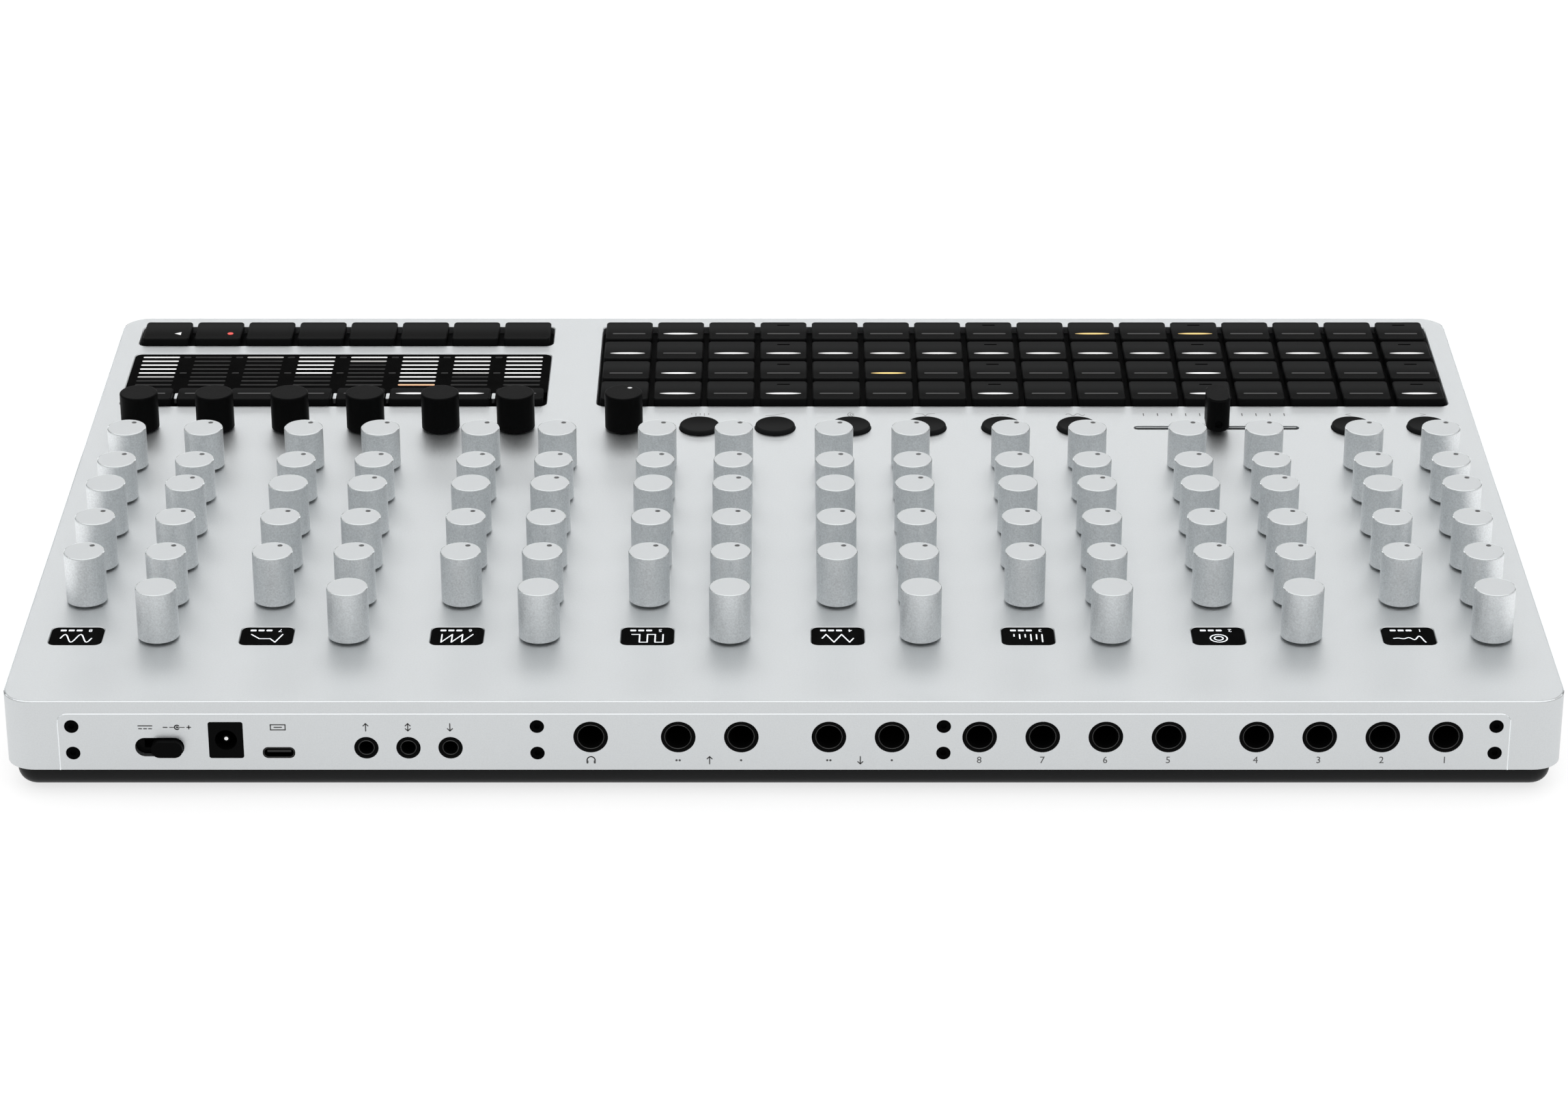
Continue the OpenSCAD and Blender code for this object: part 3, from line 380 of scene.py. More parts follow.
# Corner radius of a bar, as a share of its width
ROUND_END = 0.45
GUIDE_END = 0.42
SOFT_CORNER = 0.3


def at(x, y, z):
    return Matrix.Translation((x, y, z))


def on_rear(x, y, z):
    """Plane of the rear face: marks read from behind, with their right towards -X."""
    return Matrix(((-1, 0, 0, x), (0, 0, 1, y), (0, 1, 0, z), (0, 0, 0, 1)))


def middle(node):
    low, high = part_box(node)
    return (low + high) / 2


def raised(place, rise):
    """Middle of a thin form that stands proud by a rise and is sunk a little into its carrier."""
    return place @ at(0, 0, (rise - PRINT_SINK) / 2)


def edges_of(made):
    """Edges of a new form, each once, in the same order each run."""
    return list(dict.fromkeys(e for v in made["verts"] for e in v.link_edges))


def plate(bm, place, width, height, corner=0.0, rise=PRINT_RISE, segments=3):
    """Thin plate with round corners."""
    size = Matrix.Diagonal((width, height, rise + PRINT_SINK, 1))
    made = bmesh.ops.create_cube(bm, size=1.0, matrix=raised(place, rise) @ size)
    if corner:
        normal = (place.to_3x3() @ UP).normalized()
        upright = [e for e in edges_of(made)
                   if (e.verts[1].co - e.verts[0].co).cross(normal).length < TINY]
        bmesh.ops.bevel(bm, geom=upright, offset=corner, offset_type="OFFSET", affect="EDGES",
                        segments=segments, profile=0.5, material=-1)


def stroke(bm, place, start, end, width):
    """Straight stroke between two points of a mark's plane."""
    start, end = Vector((*start, 0)), Vector((*end, 0))
    run = end - start
    turn = Matrix.Rotation(math.atan2(run.y, run.x), 4, "Z")
    plate(bm, place @ Matrix.Translation((start + end) / 2) @ turn, run.length + width, width,
          corner=width * ROUND_END, segments=2)


def polyline(bm, place, points, width):
    for start, end in zip(points, points[1:]):
        stroke(bm, place, start, end, width)


def oval(bm, place, length, width, rise):
    """Thin plate that narrows to both its ends."""
    size = Matrix.Diagonal((length / 2, width / 2, 1, 1))
    bmesh.ops.create_cone(bm, cap_ends=True, cap_tris=False, segments=24, radius1=1, radius2=1,
                          depth=rise + PRINT_SINK, matrix=raised(place, rise) @ size)


def disc(bm, place, radius, rise=PRINT_RISE, segments=20):
    """Thin round plate."""
    bmesh.ops.create_cone(bm, cap_ends=True, cap_tris=False, segments=segments, radius1=radius,
                          radius2=radius, depth=rise + PRINT_SINK, matrix=raised(place, rise))


def arc_points(radius, first, last, steps, centre=(0.0, 0.0)):
    """Points along an arc, between two angles in degrees."""
    turns = [math.radians(first + (last - first) * i / steps) for i in range(steps + 1)]
    return [(centre[0] + radius * math.cos(t), centre[1] + radius * math.sin(t)) for t in turns]


def beads(bm, path, radius):
    """Thin square bars along a path, each on its edge."""
    for start, end in zip(path, path[1:]):
        run = end - start
        turn = run.to_track_quat("Z", "Y").to_matrix().to_4x4()
        bmesh.ops.create_cone(bm, cap_ends=True, cap_tris=False, segments=4, radius1=radius,
                              radius2=radius, depth=run.length,
                              matrix=Matrix.Translation((start + end) / 2) @ turn)


def ring(bm, place, radius, bead_radius, steps=24):
    """Thin ring in the plane of a mark."""
    start = place @ at(radius, 0, 0) @ Matrix.Rotation(math.pi / 2, 4, "X")
    made = bmesh.ops.create_circle(bm, cap_ends=False, segments=4, radius=bead_radius, matrix=start)
    axis = (place.to_3x3() @ UP).normalized()
    bmesh.ops.spin(bm, geom=made["verts"] + edges_of(made), cent=place.translation, axis=axis,
                   angle=2 * math.pi, steps=steps, use_merge=True, use_normal_flip=False,
                   use_duplicate=False)


def digit(bm, place, text, size):
    """Adds a numeral, centred on the mark's middle."""
    curve = bpy.data.curves.new("numeral", "FONT")
    curve.body = text
    curve.size = size
    curve.align_x = "CENTER"
    curve.align_y = "CENTER"
    curve.extrude = (PRINT_RISE + PRINT_SINK) / 2
    curve.resolution_u = 2
    holder = bpy.data.objects.new("numeral", curve)
    mesh = bpy.data.meshes.new_from_object(holder)
    mesh.transform(raised(place, PRINT_RISE))
    bm.from_mesh(mesh)
    bpy.data.objects.remove(holder)
    bpy.data.curves.remove(curve)
    bpy.data.meshes.remove(mesh)


def piece(name, bm, finish, body):
    """Turns a mesh into a piece that rides a body, with the finish it is given."""
    bmesh.ops.remove_doubles(bm, verts=bm.verts, dist=TINY)
    bmesh.ops.recalc_face_normals(bm, faces=bm.faces)
    mesh = bpy.data.meshes.new(name)
    bm.to_mesh(mesh)
    bm.free()
    mesh.materials.append(finish)
    made = bpy.data.objects.new(name, mesh)
    bpy.context.scene.collection.objects.link(made)
    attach(made, body)


# Knobs: pointer dots in their recesses; the level knobs and one more of each channel have none

CHANNELS = 8
ROWS = 6
TALL_ROWS = 4
DOTLESS = (3, 1)  # row and side
KNOB_PITCH_X = 23.86 * MM
KNOB_PITCH_Y = 24.0 * MM
DOT_RADIUS = 0.76 * MM
DOT_DEPTH = 0.15 * MM
DOT_OFFSET = Vector((-1.91, -3.59)) * MM

first_knob = middle("ch1_level_knob")
channel_pitch = middle("ch2_level_knob").x - first_knob.x
tall_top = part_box("ch1_level_knob")[1].z
short_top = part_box("ch1_knob_10")[1].z


def knob_top(channel, row, side):
    """Middle of a silver knob's top; channels and rows count from the user's far left."""
    x = first_knob.x + channel * channel_pitch + side * KNOB_PITCH_X
    y = first_knob.y - row * KNOB_PITCH_Y
    return Vector((x, y, tall_top if row < TALL_ROWS else short_top))


def knob_name(channel, row, side):
    """Body of a silver knob; it is the case where the knob doesn't turn."""
    if not row:
        return f"ch{channel + 1}_level_knob"
    return "case" if channel else f"ch1_knob_{2 * row - 1 + side}"


def dot_place(x, y, top):
    return at(x + DOT_OFFSET.x, y + DOT_OFFSET.y, top - DOT_DEPTH)


def make_own_dot(name, label, finish):
    """Dot of a knob that turns, as a piece that turns with it."""
    place, top = middle(name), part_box(name)[1].z
    bm = bmesh.new()
    disc(bm, dot_place(place.x, place.y, top), DOT_RADIUS)
    piece(label, bm, finish, name)


def make_dots():
    dotted = [(row, side) for row in range(1, ROWS) for side in (0, 1) if (row, side) != DOTLESS]
    for row, side in dotted:
        name = knob_name(0, row, side)
        make_own_dot(name, name + "_dot", DOT_INK)
    bm = bmesh.new()
    for channel in range(1, CHANNELS):
        for row, side in dotted:
            disc(bm, dot_place(*knob_top(channel, row, side)), DOT_RADIUS, segments=16)
    piece("channel_knob_dots", bm, DOT_INK, "case")
    make_own_dot("main_volume_knob", "main_volume_dot", WHITE_INK)


make_dots()


# Keys: light guides, beat marks, play and record marks

SIDE_COLUMNS = 8
GUIDE_LENGTH = 10.8 * MM
GUIDE_WIDTH = 0.85 * MM
LIT_LENGTH = 11.4 * MM
LIT_WIDTH = 1.2 * MM
GUIDE_OFFSET = 2.75 * MM
BEAT_LENGTH = 4.2 * MM
BEAT_WIDTH = 0.7 * MM
BEAT_OFFSET = 4.6 * MM
BEAT_COLUMNS = (0, 4, 8, 12)

# Lit steps of each row, from the user's side to the rear, with columns counted from the left
WHITE_STEPS = {
    1: (14,),
    2: tuple(i for i in range(STEP_COLUMNS) if i != 14),
    3: (4, 14),
    4: (0, 4, 8, 12, 14),
}
AMBER_STEPS = {1: (4, 6), 2: (), 3: (10,), 4: ()}
LIT_TRACKS = (1, 2)


def key_columns(node, count):
    """Middles of a row's keys along X."""
    low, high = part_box(node)
    pitch = (high.x - low.x - KEY_WIDTH) / (count - 1)
    return [low.x + KEY_WIDTH / 2 + i * pitch for i in range(count)]


def guides(name, xs, y, z, finish, body):
    """Light guides of a row; a lit one looks longer, and narrows to its ends."""
    if not xs:
        return
    bm = bmesh.new()
    for x in xs:
        if finish is UNLIT:
            plate(bm, at(x, y, z), GUIDE_LENGTH, GUIDE_WIDTH, corner=GUIDE_WIDTH * GUIDE_END,
                  rise=LIGHT_RISE)
        else:
            oval(bm, at(x, y, z), LIT_LENGTH, LIT_WIDTH, LIGHT_RISE)
    piece(name, bm, finish, body)


def make_key_lights():
    for row in range(1, STEP_ROWS + 1):
        body = f"step_keys_row_{row}"
        xs = key_columns(body, STEP_COLUMNS)
        y, top = middle(body).y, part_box(body)[1].z
        white, amber = WHITE_STEPS[row], AMBER_STEPS[row]
        dark = [i for i in range(STEP_COLUMNS) if i not in white + amber]
        kinds = (("white", white, WHITE_LINE), ("amber", amber, AMBER_LINE), ("unlit", dark, UNLIT))
        for label, columns, finish in kinds:
            places = [xs[i] for i in columns]
            guides(f"{body}_{label}", places, y + GUIDE_OFFSET, top, finish, body)
        bm = bmesh.new()
        for i in BEAT_COLUMNS:
            plate(bm, at(xs[i], y - BEAT_OFFSET, top), BEAT_LENGTH, BEAT_WIDTH,
                  corner=BEAT_WIDTH * GUIDE_END)
        piece(f"{body}_beats", bm, BLACK_INK, body)
    xs = key_columns("track_keys", SIDE_COLUMNS)
    y, top = middle("track_keys").y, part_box("track_keys")[1].z
    guides("track_keys_white", [xs[i] for i in LIT_TRACKS], y, top, WHITE_LINE, "track_keys")
    dark = [xs[i] for i in range(SIDE_COLUMNS) if i not in LIT_TRACKS]
    guides("track_keys_unlit", dark, y, top, UNLIT, "track_keys")


TRANSPORT_OFFSET = Vector((-4.0, 2.7)) * MM
PLAY_SIZE = 1.4 * MM
RECORD_RADIUS = 0.95 * MM


def transport_place(key):
    centre = middle(key)
    return at(centre.x + TRANSPORT_OFFSET.x, centre.y + TRANSPORT_OFFSET.y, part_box(key)[1].z)


def make_transport_marks():
    bm = bmesh.new()
    turn = Matrix.Rotation(-math.pi / 2, 4, "Z")
    bmesh.ops.create_cone(bm, cap_ends=True, cap_tris=False, segments=3, radius1=PLAY_SIZE,
                          radius2=PLAY_SIZE, depth=LIGHT_RISE + PRINT_SINK,
                          matrix=transport_place("play_key") @ turn)
    piece("play_mark", bm, WHITE_LIGHT, "play_key")
    bm = bmesh.new()
    disc(bm, transport_place("record_key"), RECORD_RADIUS, rise=LIGHT_RISE)
    piece("record_mark", bm, RED_LIGHT, "record_key")


make_key_lights()
make_transport_marks()


# Level meter: bars on the window's face, counted from the user's side to the rear

BAR_COUNT = 8
TICKED_BARS = (0, 4)
BAR_PITCH = 3.26 * MM
BAR_LENGTH = 11.95 * MM
BAR_WIDTH = 1.0 * MM
FIRST_BAR_Y = -107.2 * MM
TICK_LENGTH = 2.4 * MM

# Level of each column from the user's left: bright, half-bright and peak bars
METER_LEVELS = ((6, 0, 0), (4, 1, 0), (7, 0, 1), (1, 1, 0),
                (5, 0, 0), (0, 1, 0), (0, 0, 0), (5, 1, 0))


def make_meter():
    xs = key_columns("track_keys", SIDE_COLUMNS)
    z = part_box("meter_window")[1].z
    groups = {kind: bmesh.new() for kind in ("bright", "half", "peak", "unlit")}
    for x, (bright, half, peak) in zip(xs, METER_LEVELS):
        for bar in range(BAR_COUNT):
            kind = "unlit"
            if bar < bright:
                kind = "bright"
            elif bar < bright + half:
                kind = "half"
            elif peak and bar == BAR_COUNT - 1:
                kind = "peak"
            place = at(x, FIRST_BAR_Y + bar * BAR_PITCH, z)
            plate(groups[kind], place, BAR_LENGTH, BAR_WIDTH, corner=BAR_WIDTH * ROUND_END)
    for left, right in zip(xs, xs[1:]):
        for bar in TICKED_BARS:
            place = at((left + right) / 2, FIRST_BAR_Y + bar * BAR_PITCH, z)
            plate(groups["unlit"], place, TICK_LENGTH, BAR_WIDTH, corner=BAR_WIDTH * ROUND_END)
    piece("meter_bright_bars", groups["bright"], WHITE_LIGHT, "case")
    piece("meter_half_bars", groups["half"], DIM_LIGHT, "case")
    piece("meter_peak_bar", groups["peak"], ORANGE_LIGHT, "case")
    piece("meter_unlit_bars", groups["unlit"], UNLIT_BAR, "case")


make_meter()


# Displays: a plain waveform or shape, a number and three value bars on each

ICON_WIDTH = 9.0 * MM
ICON_HEIGHT = 5.0 * MM
ICON_LIFT = 1.4 * MM
ICON_STROKE = 0.4 * MM
WAVE_STEPS = 24
CAPTION_DROP = 3.7 * MM
CAPTION_SIZE = 2.4 * MM
CAPTION_SHIFT = -3.6 * MM
VALUE_BARS = 3
VALUE_SHIFT = -0.4 * MM
VALUE_PITCH = 2.3 * MM
VALUE_LENGTH = 1.7 * MM
VALUE_WIDTH = 1.0 * MM
VALUE_CORNER = 0.2 * MM
BAR_PLACES = (-0.9, -0.54, -0.18, 0.18, 0.54, 0.9)
BAR_LEVELS = (0.9, 0.2, 0.6, -0.3, 0.1, -0.5)


def display_drawings():
    """Lines of each display's drawing, in shares of the icon's half width and half height."""
    along = [-1 + 2 * i / WAVE_STEPS for i in range(WAVE_STEPS + 1)]
    sine = [(u, math.sin(u * 2 * math.pi)) for u in along]
    decay = [(u, math.exp(-1.6 * (u + 1)) * math.cos(9 * (u + 1))) for u in along]
    square = [(-1, -1), (-1, 1), (-0.5, 1), (-0.5, -1), (0, -1), (0, 1), (0.5, 1), (0.5, -1),
              (1, -1)]
    saw = [(-1, -1), (-0.34, 1), (-0.34, -1), (0.32, 1), (0.32, -1), (0.98, 1), (0.98, -1)]
    triangle = [(-1, 0), (-0.75, 1), (-0.25, -1), (0.25, 1), (0.75, -1), (1, 0)]
    envelope = [(-1, -1), (-0.6, 1), (-0.25, 0.1), (0.45, 0.1), (1, -1)]
    bars = [[(u, -1), (u, level)] for u, level in zip(BAR_PLACES, BAR_LEVELS)]
    circles = [arc_points(radius, 0, 360, 20) for radius in (0.98, 0.5)]
    rings = [[(u * ICON_HEIGHT / ICON_WIDTH, v) for u, v in circle] for circle in circles]
    return [[decay], rings, bars, [triangle], [square], [saw], [envelope], [sine]]


def make_displays():
    y, z = middle("display_modules").y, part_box("display_modules")[1].z
    caption_y = y - CAPTION_DROP
    for channel, lines in enumerate(display_drawings()):
        x = knob_top(channel, 0, 1).x
        bm = bmesh.new()
        for line in lines:
            points = [(u * ICON_WIDTH / 2, v * ICON_HEIGHT / 2) for u, v in line]
            polyline(bm, at(x, y + ICON_LIFT, z), points, ICON_STROKE)
        digit(bm, at(x + CAPTION_SHIFT, caption_y, z), str(channel + 1), CAPTION_SIZE)
        for i in range(VALUE_BARS):
            place = at(x + VALUE_SHIFT + i * VALUE_PITCH, caption_y, z)
            plate(bm, place, VALUE_LENGTH, VALUE_WIDTH, corner=VALUE_CORNER)
        piece(f"display_{channel + 1}_drawing", bm, SCREEN_LIGHT, "case")


make_displays()


# Panel: the fader's scale, the felts in its slot (partly painted light), plain marks by round
# buttons

PRINT_Y = -59.9 * MM
TICKS_EACH_SIDE = 5
TICK_WIDTH = 0.35 * MM
TICK_HEIGHT = 2.1 * MM
TICK_PITCH = 4.5 * MM
FELT_LENGTH = 51.0 * MM
FELT_WIDTH = 0.57 * MM
FELT_OFFSET = 1.265 * MM
FELT_DROP = 0.5 * MM
PANEL_SIGN = 1.0 * MM
PANEL_STROKE = 0.28 * MM
EFFECT_XS = [x * MM for x in (26.8, 2.8, -21.2, -45.2, -69.2, -93.2)]
PAGE_XS = [x * MM for x in (-204.43, -180.43)]
panel_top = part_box("top_case")[1].z


def small_signs():
    """Plain drawings for six round buttons: bars, a knee, arcs, a peak, dashes and a wave."""
    tall, wide = PANEL_SIGN, PANEL_SIGN * 3
    levels = {-0.9: 0, -0.45: 1, 0: 0.4, 0.45: 0.8, 0.9: -0.2}
    bars = [[(u * wide, -tall), (u * wide, level * tall)] for u, level in levels.items()]
    knee = [[(-wide, -tall), (0, tall * 0.4), (wide, tall * 0.7)]]
    arcs = [arc_points(tall * k, -60, 60, 5, (-wide * 0.5, 0)) for k in (0.7, 1.5, 2.3)]
    slope = [(-wide, -tall), (-wide * 0.3, -tall * 0.6), (0, tall)]
    peak = [slope + [(-u, v) for u, v in reversed(slope[:-1])]]
    dashes = [[(u * wide, 0), (u * wide + tall * 0.5, 0)] for u in (-0.9, -0.35, 0.2, 0.75)]
    wave = [[(u / 8 * wide, math.sin(u * math.pi / 4) * tall * 0.8) for u in range(-8, 9)]]
    return [bars, knee, arcs, peak, dashes, wave]


def make_fader_trim():
    """Scale by the slot; pale felts along its sides, partly painted light, leave the lever free."""
    fader = middle("fader_cap")
    bm = bmesh.new()
    for i in range(-TICKS_EACH_SIDE, TICKS_EACH_SIDE + 1):
        plate(bm, at(fader.x + i * TICK_PITCH, PRINT_Y, panel_top), TICK_WIDTH, TICK_HEIGHT,
              corner=TICK_WIDTH * SOFT_CORNER)
    piece("fader_scale", bm, GREY_INK, "case")
    # painted light in part: the felts' pale grey stands in for the lit wall inside the slot
    bm = bmesh.new()
    for side in (-1, 1):
        felt = at(fader.x, fader.y + side * FELT_OFFSET, panel_top - FELT_DROP)
        plate(bm, felt, FELT_LENGTH, FELT_WIDTH, corner=FELT_WIDTH * SOFT_CORNER)
    piece("fader_slot_felts_and_wall_light", bm, SLOT_FELT_AND_WALL_LIGHT, "case")


def make_panel_signs():
    """A drawing by each effect button, and an arrow head by each page button."""
    bm = bmesh.new()
    for x, lines in zip(EFFECT_XS, small_signs()):
        for line in lines:
            polyline(bm, at(x, PRINT_Y, panel_top), line, PANEL_STROKE)
    for x, turn in zip(PAGE_XS, (1, -1)):
        tip = PANEL_SIGN * 0.8 * turn
        points = [(tip, PANEL_SIGN * 0.8), (-tip, 0), (tip, -PANEL_SIGN * 0.8)]
        polyline(bm, at(x, PRINT_Y, panel_top), points, PANEL_STROKE)
    piece("panel_signs", bm, PALE_INK, "case")


make_fader_trim()
make_panel_signs()


# Rear print: numbers under the channel jacks and plain signs by the other sockets

JACK_XS = [x * MM for x in (-186.7, -168.9, -151.1, -133.3, -108.6, -90.8, -73.0, -55.2)]
LINE_IN_XS = (-30.5 * MM, -12.7 * MM)
LINE_OUT_XS = (12.1 * MM, 29.9 * MM)
HEADPHONE_X = 54.5 * MM
SMALL_JACK_XS = [x * MM for x in (94.1, 105.98, 117.86)]
USB_X = 142.6 * MM
POLARITY_X = 171.0 * MM
SUPPLY_X = 180.0 * MM
LOWER_Z = 11.3 * MM
UPPER_Z = 21.8 * MM
NUMBER_SIZE = 3.0 * MM
SIGN_STROKE = 0.34 * MM
SIGN_HALF = 1.15 * MM
SIDE_DOT_STEP = 0.9 * MM
DOT_SEGMENTS = 10


def arrow(bm, place, side):
    """Arrow that points up (side 1) or down (side -1); its head opens at both sides."""
    tip = side * SIGN_HALF
    stroke(bm, place, (0, -tip), (0, tip), SIGN_STROKE)
    head = SIGN_HALF * 0.6
    for across in (-head, head):
        stroke(bm, place, (0, tip), (across, tip - side * head), SIGN_STROKE)


def headphones(bm, place):
    polyline(bm, place, arc_points(SIGN_HALF, 0, 180, 10), SIGN_STROKE)
    for side in (-1, 1):
        cup = place @ at(side * SIGN_HALF * 0.9, -SIGN_HALF * 0.45, 0)
        plate(bm, cup, SIGN_HALF * 0.5, SIGN_HALF * 0.9, corner=SIGN_HALF * 0.2)


def side_dots(bm, place, count):
    """One dot for the left jack of a pair, two for the right one."""
    for i in range(count):
        shift = (i - (count - 1) / 2) * SIDE_DOT_STEP
        disc(bm, place @ at(shift, 0, 0), SIGN_STROKE, segments=DOT_SEGMENTS)


def polarity(bm, place):
    """Minus sign, ring with a dot for the plug, plus sign."""
    ring_radius, reach = SIGN_HALF * 0.6, SIGN_HALF * 1.8
    half_sign, thin = SIGN_HALF * 0.45, SIGN_STROKE * 0.7
    plus = SIGN_HALF * 2.9
    polyline(bm, place, arc_points(ring_radius, 40, 320, 10), SIGN_STROKE)
    disc(bm, place, SIGN_STROKE, segments=DOT_SEGMENTS)
    stroke(bm, place, (0, 0), (reach, 0), thin)
    stroke(bm, place, (-ring_radius, 0), (-reach, 0), thin)
    for mid in (-plus, plus):
        stroke(bm, place, (mid - half_sign, 0), (mid + half_sign, 0), SIGN_STROKE)
    stroke(bm, place, (plus, -half_sign), (plus, half_sign), SIGN_STROKE)


def supply(bm, place):
    """Solid line over a dashed line, for direct current."""
    reach, lift = SIGN_HALF * 1.7, SIGN_HALF * 0.4
    stroke(bm, place, (-reach, lift), (reach, lift), SIGN_STROKE)
    for i in (-1, 0, 1):
        mid, half_dash = i * reach * 0.72, reach * 0.2
        stroke(bm, place, (mid - half_dash, -lift), (mid + half_dash, -lift), SIGN_STROKE)


def flat_plug(bm, place):
    """Outline of a flat plug with its tongue."""
    wide, tall = SIGN_HALF * 1.8, SIGN_HALF * 0.7
    corners = [(-wide, -tall), (wide, -tall), (wide, tall), (-wide, tall), (-wide, -tall)]
    polyline(bm, place, corners, SIGN_STROKE)
    stroke(bm, place, (-wide * 0.5, 0), (wide * 0.5, 0), SIGN_STROKE)


def make_rear_print():
    """Arrows point down for what goes in and up for what comes out."""
    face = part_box("rear_panel")[1].y
    bm = bmesh.new()
    for i, x in enumerate(JACK_XS):
        digit(bm, on_rear(x, face, LOWER_Z), str(i + 1), NUMBER_SIZE)
    for xs, side in ((LINE_IN_XS, -1), (LINE_OUT_XS, 1)):
        arrow(bm, on_rear(sum(xs) / 2, face, LOWER_Z), side)
        for count, x in zip((1, 2), xs):
            side_dots(bm, on_rear(x, face, LOWER_Z), count)
    headphones(bm, on_rear(HEADPHONE_X, face, LOWER_Z))
    for x, sides in zip(SMALL_JACK_XS, ((-1,), (1, -1), (1,))):
        for side in sides:
            arrow(bm, on_rear(x, face, UPPER_Z), side)
    flat_plug(bm, on_rear(USB_X, face, UPPER_Z))
    polarity(bm, on_rear(POLARITY_X, face, UPPER_Z))
    supply(bm, on_rear(SUPPLY_X, face, UPPER_Z))
    piece("rear_print", bm, GREY_INK, "case")


make_rear_print()


# Fine trim: painted highlights on cut edges and jack mouths, the DC socket's pin, track key lands

# RIM_RADIUS and RIM_BEAD are the radii of the beads of painted highlight
RIM_RADIUS = 0.2 * MM
PLATE_CORNER = 2.8 * MM
CASE_CORNER = 8.5 * MM
CASE_CHAMFER = 0.5 * MM
KNOB_RADIUS = 6.0 * MM
KNOB_EDGE = 0.5 * MM
JACK_Z = 18.7 * MM
SMALL_JACK_Z = 15.3 * MM
JACK_RING_RADIUS = 3.75 * MM
SMALL_RING_RADIUS = 2.2 * MM
RING_BEAD = 0.1 * MM
RIM_BEAD = 0.1 * MM
RIM_DROP_SHARE = 0.3
DC_X = 157.4 * MM
DC_Z = 17.74 * MM
PIN_RADIUS = 1.04 * MM
PIN_TIP_RADIUS = 0.55 * MM
PIN_DEPTH = 1.9 * MM
LAND_WIDTH = 1.1 * MM
LAND_LENGTH = 4.4 * MM
LAND_HEIGHT = 1.6 * MM


def make_plate_edge_highlight():
    """Painted highlight: a bright line round the rear panel's plate."""
    low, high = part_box("rear_panel")
    corner_z = high.z - PLATE_CORNER
    left = arc_points(PLATE_CORNER, 180, 90, 8, (low.x + PLATE_CORNER, corner_z))
    right = arc_points(PLATE_CORNER, 90, 0, 8, (high.x - PLATE_CORNER, corner_z))
    points = [(low.x, low.z)] + left + right + [(high.x, low.z)]
    bm = bmesh.new()
    beads(bm, [Vector((x, high.y, z)) for x, z in points], RIM_RADIUS)
    piece("rear_panel_edge_highlight", bm, PAINTED_EDGE_HIGHLIGHT, "case")


def make_case_edge_highlight():
    """Painted highlight: a bright line on the chamfer round the panel, where it catches light."""
    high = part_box("top_case")[1]
    inset = CASE_CHAMFER / 2
    radius = CASE_CORNER - inset
    far_x, far_y = high.x - CASE_CORNER, high.y - CASE_CORNER
    corners = ((far_x, far_y, 0), (-far_x, far_y, 90), (-far_x, -far_y, 180), (far_x, -far_y, 270))
    points = [p for x, y, turn in corners for p in arc_points(radius, turn, turn + 90, 10, (x, y))]
    points.append(points[0])
    bm = bmesh.new()
    beads(bm, [Vector((x, y, high.z - inset)) for x, y in points], RIM_RADIUS)
    piece("case_edge_highlight", bm, PAINTED_EDGE_HIGHLIGHT, "case")


def make_knob_rim_highlights():
    """Painted highlight on each silver knob's turned top edge, from one mesh that is copied."""
    drop = KNOB_EDGE * RIM_DROP_SHARE
    one = bmesh.new()
    ring(one, Matrix.Identity(4), KNOB_RADIUS - drop, RIM_BEAD, steps=32)
    bmesh.ops.remove_doubles(one, verts=one.verts, dist=TINY)
    one_highlight_ring = bpy.data.meshes.new("one_highlight_ring")
    one.to_mesh(one_highlight_ring)
    one.free()
    highlight_rings_by_body = {"case": bmesh.new()}
    for channel in range(CHANNELS):
        for row in range(ROWS):
            for side in (0, 1) if row else (0,):
                body = knob_name(channel, row, side)
                if body not in highlight_rings_by_body:
                    highlight_rings_by_body[body] = bmesh.new()
                place = Matrix.Translation(knob_top(channel, row, side) - UP * drop)
                one_highlight_ring.transform(place)
                highlight_rings_by_body[body].from_mesh(one_highlight_ring)
                one_highlight_ring.transform(place.inverted())
    bpy.data.meshes.remove(one_highlight_ring)
    for body, bm in highlight_rings_by_body.items():
        name = "channel_knob_rim_highlights" if body == "case" else body + "_rim"
        piece(name, bm, PAINTED_EDGE_HIGHLIGHT, body)


def make_jack_ring_highlights():
    """Painted highlight: a thin steel ring round each jack's mouth, where its bevel catches light.
    """
    bm = bmesh.new()
    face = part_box("line_jacks")[1].y
    for x in (*JACK_XS, *LINE_IN_XS, *LINE_OUT_XS, HEADPHONE_X):
        ring(bm, on_rear(x, face, JACK_Z), JACK_RING_RADIUS, RING_BEAD)
    for x in SMALL_JACK_XS:
        ring(bm, on_rear(x, face, SMALL_JACK_Z), SMALL_RING_RADIUS, RING_BEAD)
    piece("jack_ring_highlights", bm, PAINTED_RING_HIGHLIGHT, "case")


def make_pin():
    """Tip of the DC socket's middle pin."""
    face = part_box("rear_panel")[1].y
    bm = bmesh.new()
    bmesh.ops.create_cone(bm, cap_ends=True, cap_tris=False, segments=24, radius1=PIN_RADIUS,
                          radius2=PIN_TIP_RADIUS, depth=PIN_DEPTH,
                          matrix=on_rear(DC_X, face - PIN_DEPTH, DC_Z))
    piece("dc_pin_tip", bm, BRIGHT_STEEL, "case")


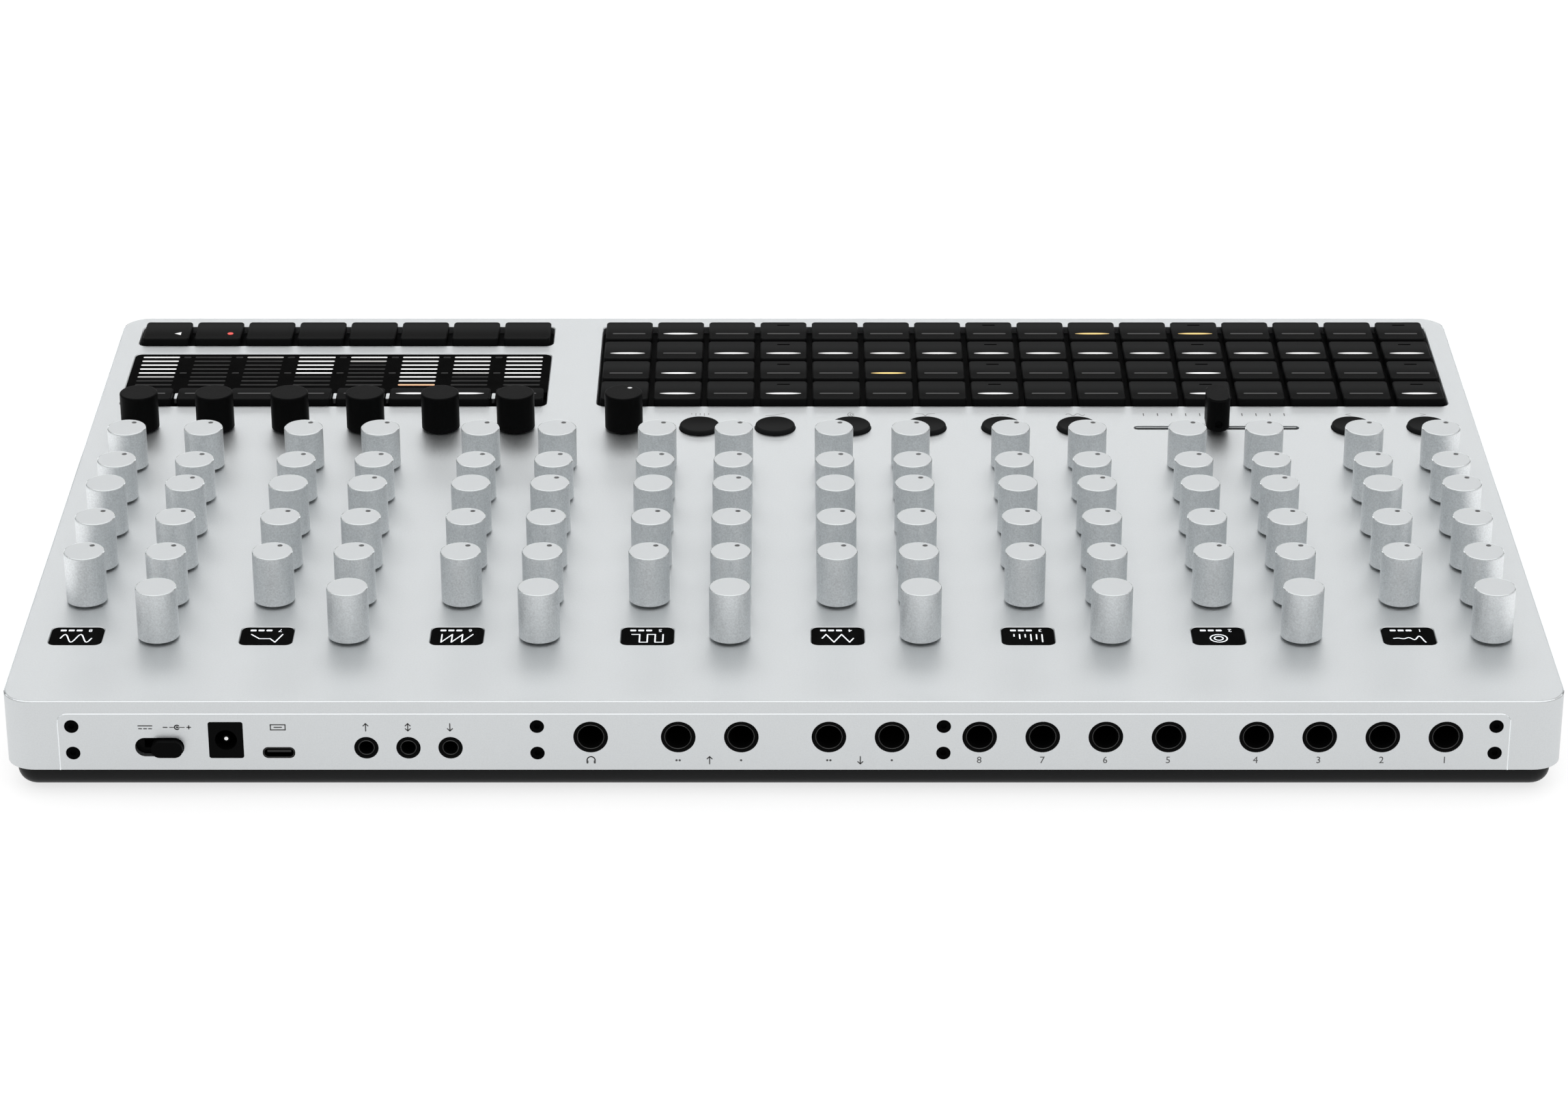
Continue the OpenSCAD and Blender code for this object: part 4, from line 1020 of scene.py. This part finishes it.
def make_key_lands():
    """Narrow bridges of the case between the track keys."""
    xs = key_columns("track_keys", SIDE_COLUMNS)
    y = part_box("track_keys")[0].y + LAND_LENGTH / 2
    bm = bmesh.new()
    for left, right in zip(xs, xs[1:]):
        place = at((left + right) / 2, y, panel_top - LAND_HEIGHT)
        plate(bm, place, LAND_WIDTH, LAND_LENGTH, corner=LAND_WIDTH * SOFT_CORNER,
              rise=LAND_HEIGHT)
    piece("track_key_lands", bm, FINISHES["case_aluminium"], "case")


make_plate_edge_highlight()
make_case_edge_highlight()
make_jack_ring_highlights()
make_knob_rim_highlights()
make_pin()
make_key_lands()


# Stage and lights

FLOOR_HALF = 6.0
FLOOR_DROP = 0.05 * MM
FLOOR_COLOUR = 0.4
FLOOR_GLOW = 0.72
SKY_FROM = 0.33
SKY_TO = 0.78
SKY_LOW = 0.15
SKY_HIGH = 1.1
CENTRE = (0, 0, 0)


def area_lamp(name, place, aim, width, height, power):
    """Soft rectangular lamp; sizes in metres, power in watts."""
    data = bpy.data.lights.new(name, "AREA")
    data.shape = "RECTANGLE"
    data.size = width
    data.size_y = height
    data.energy = power
    lamp = bpy.data.objects.new(name, data)
    lamp.location = place
    lamp.rotation_euler = (Vector(aim) - Vector(place)).to_track_quat("-Z", "Y").to_euler()
    bpy.context.scene.collection.objects.link(lamp)


def make_floor():
    """Plain floor that takes the object's shadow, and is white to the camera."""
    bm = bmesh.new()
    bmesh.ops.create_grid(bm, x_segments=1, y_segments=1, size=FLOOR_HALF,
                          matrix=at(0, 0, -FLOOR_DROP))
    mesh = bpy.data.meshes.new("floor")
    bm.to_mesh(mesh)
    bm.free()
    material = bpy.data.materials.new("pale_floor")
    material.use_nodes = True
    floor = Wiring(material.node_tree)
    output = floor.tree.nodes["Material Output"]
    floor.tree.nodes.remove(floor.tree.nodes["Principled BSDF"])
    diffuse = floor.node("ShaderNodeBsdfDiffuse", {}, {"Color": grey(FLOOR_COLOUR)})
    ray = floor.tree.nodes.new("ShaderNodeLightPath")
    rays = ("Is Camera Ray", "Is Glossy Ray", "Is Transmission Ray")
    camera, glossy, through = (Shade(floor, ray.outputs[name]) for name in rays)
    seen = (camera + glossy + through).capped(1.0)
    glow = floor.node("ShaderNodeEmission", {}, {"Color": grey(1.0), "Strength": seen * FLOOR_GLOW})
    both = floor.node("ShaderNodeAddShader", {}, {0: diffuse, 1: glow})
    floor.feed(output.inputs["Surface"], both)
    mesh.materials.append(material)
    made = bpy.data.objects.new("floor", mesh)
    bpy.context.scene.collection.objects.link(made)


def make_world():
    """A sky that is dim near the horizon and white overhead, like under one large soft light."""
    world = bpy.data.worlds.new("studio")
    world.use_nodes = True
    bpy.context.scene.world = world
    sky = Wiring(world.node_tree)
    upward = sky.axis(sky.node("ShaderNodeTexCoord", output="Generated"), "Z")
    span = {"Value": upward, "From Min": SKY_FROM, "From Max": SKY_TO,
            "To Min": SKY_LOW, "To Max": SKY_HIGH}
    level = sky.node("ShaderNodeMapRange", {"interpolation_type": "SMOOTHSTEP"}, span)
    background = sky.tree.nodes["Background"].inputs
    sky.feed(background["Strength"], level)
    sky.feed(background["Color"], grey(1.0))


make_floor()
make_world()
area_lamp("far_softbox", (0, -1.9, 1.7), aim=(0, -0.05, 0), width=3.0, height=0.9, power=8.0)
area_lamp("low_softbox", (0, -2.4, 0.62), aim=(0, -0.1, 0.03), width=3.0, height=0.4, power=7.5)
area_lamp("near_softbox", (-0.5, 1.1, 0.9), aim=CENTRE, width=0.9, height=0.6, power=0.3)
area_lamp("rear_softbox", (0, 2.6, 0.95), aim=CENTRE, width=3.0, height=0.7, power=6.0)
area_lamp("left_softbox", (-2.4, 0, 0.8), aim=CENTRE, width=3.0, height=0.6, power=5.0)
area_lamp("right_softbox", (2.4, 0, 0.8), aim=CENTRE, width=3.0, height=0.6, power=5.0)

bpy.context.scene.view_settings.view_transform = "Standard"
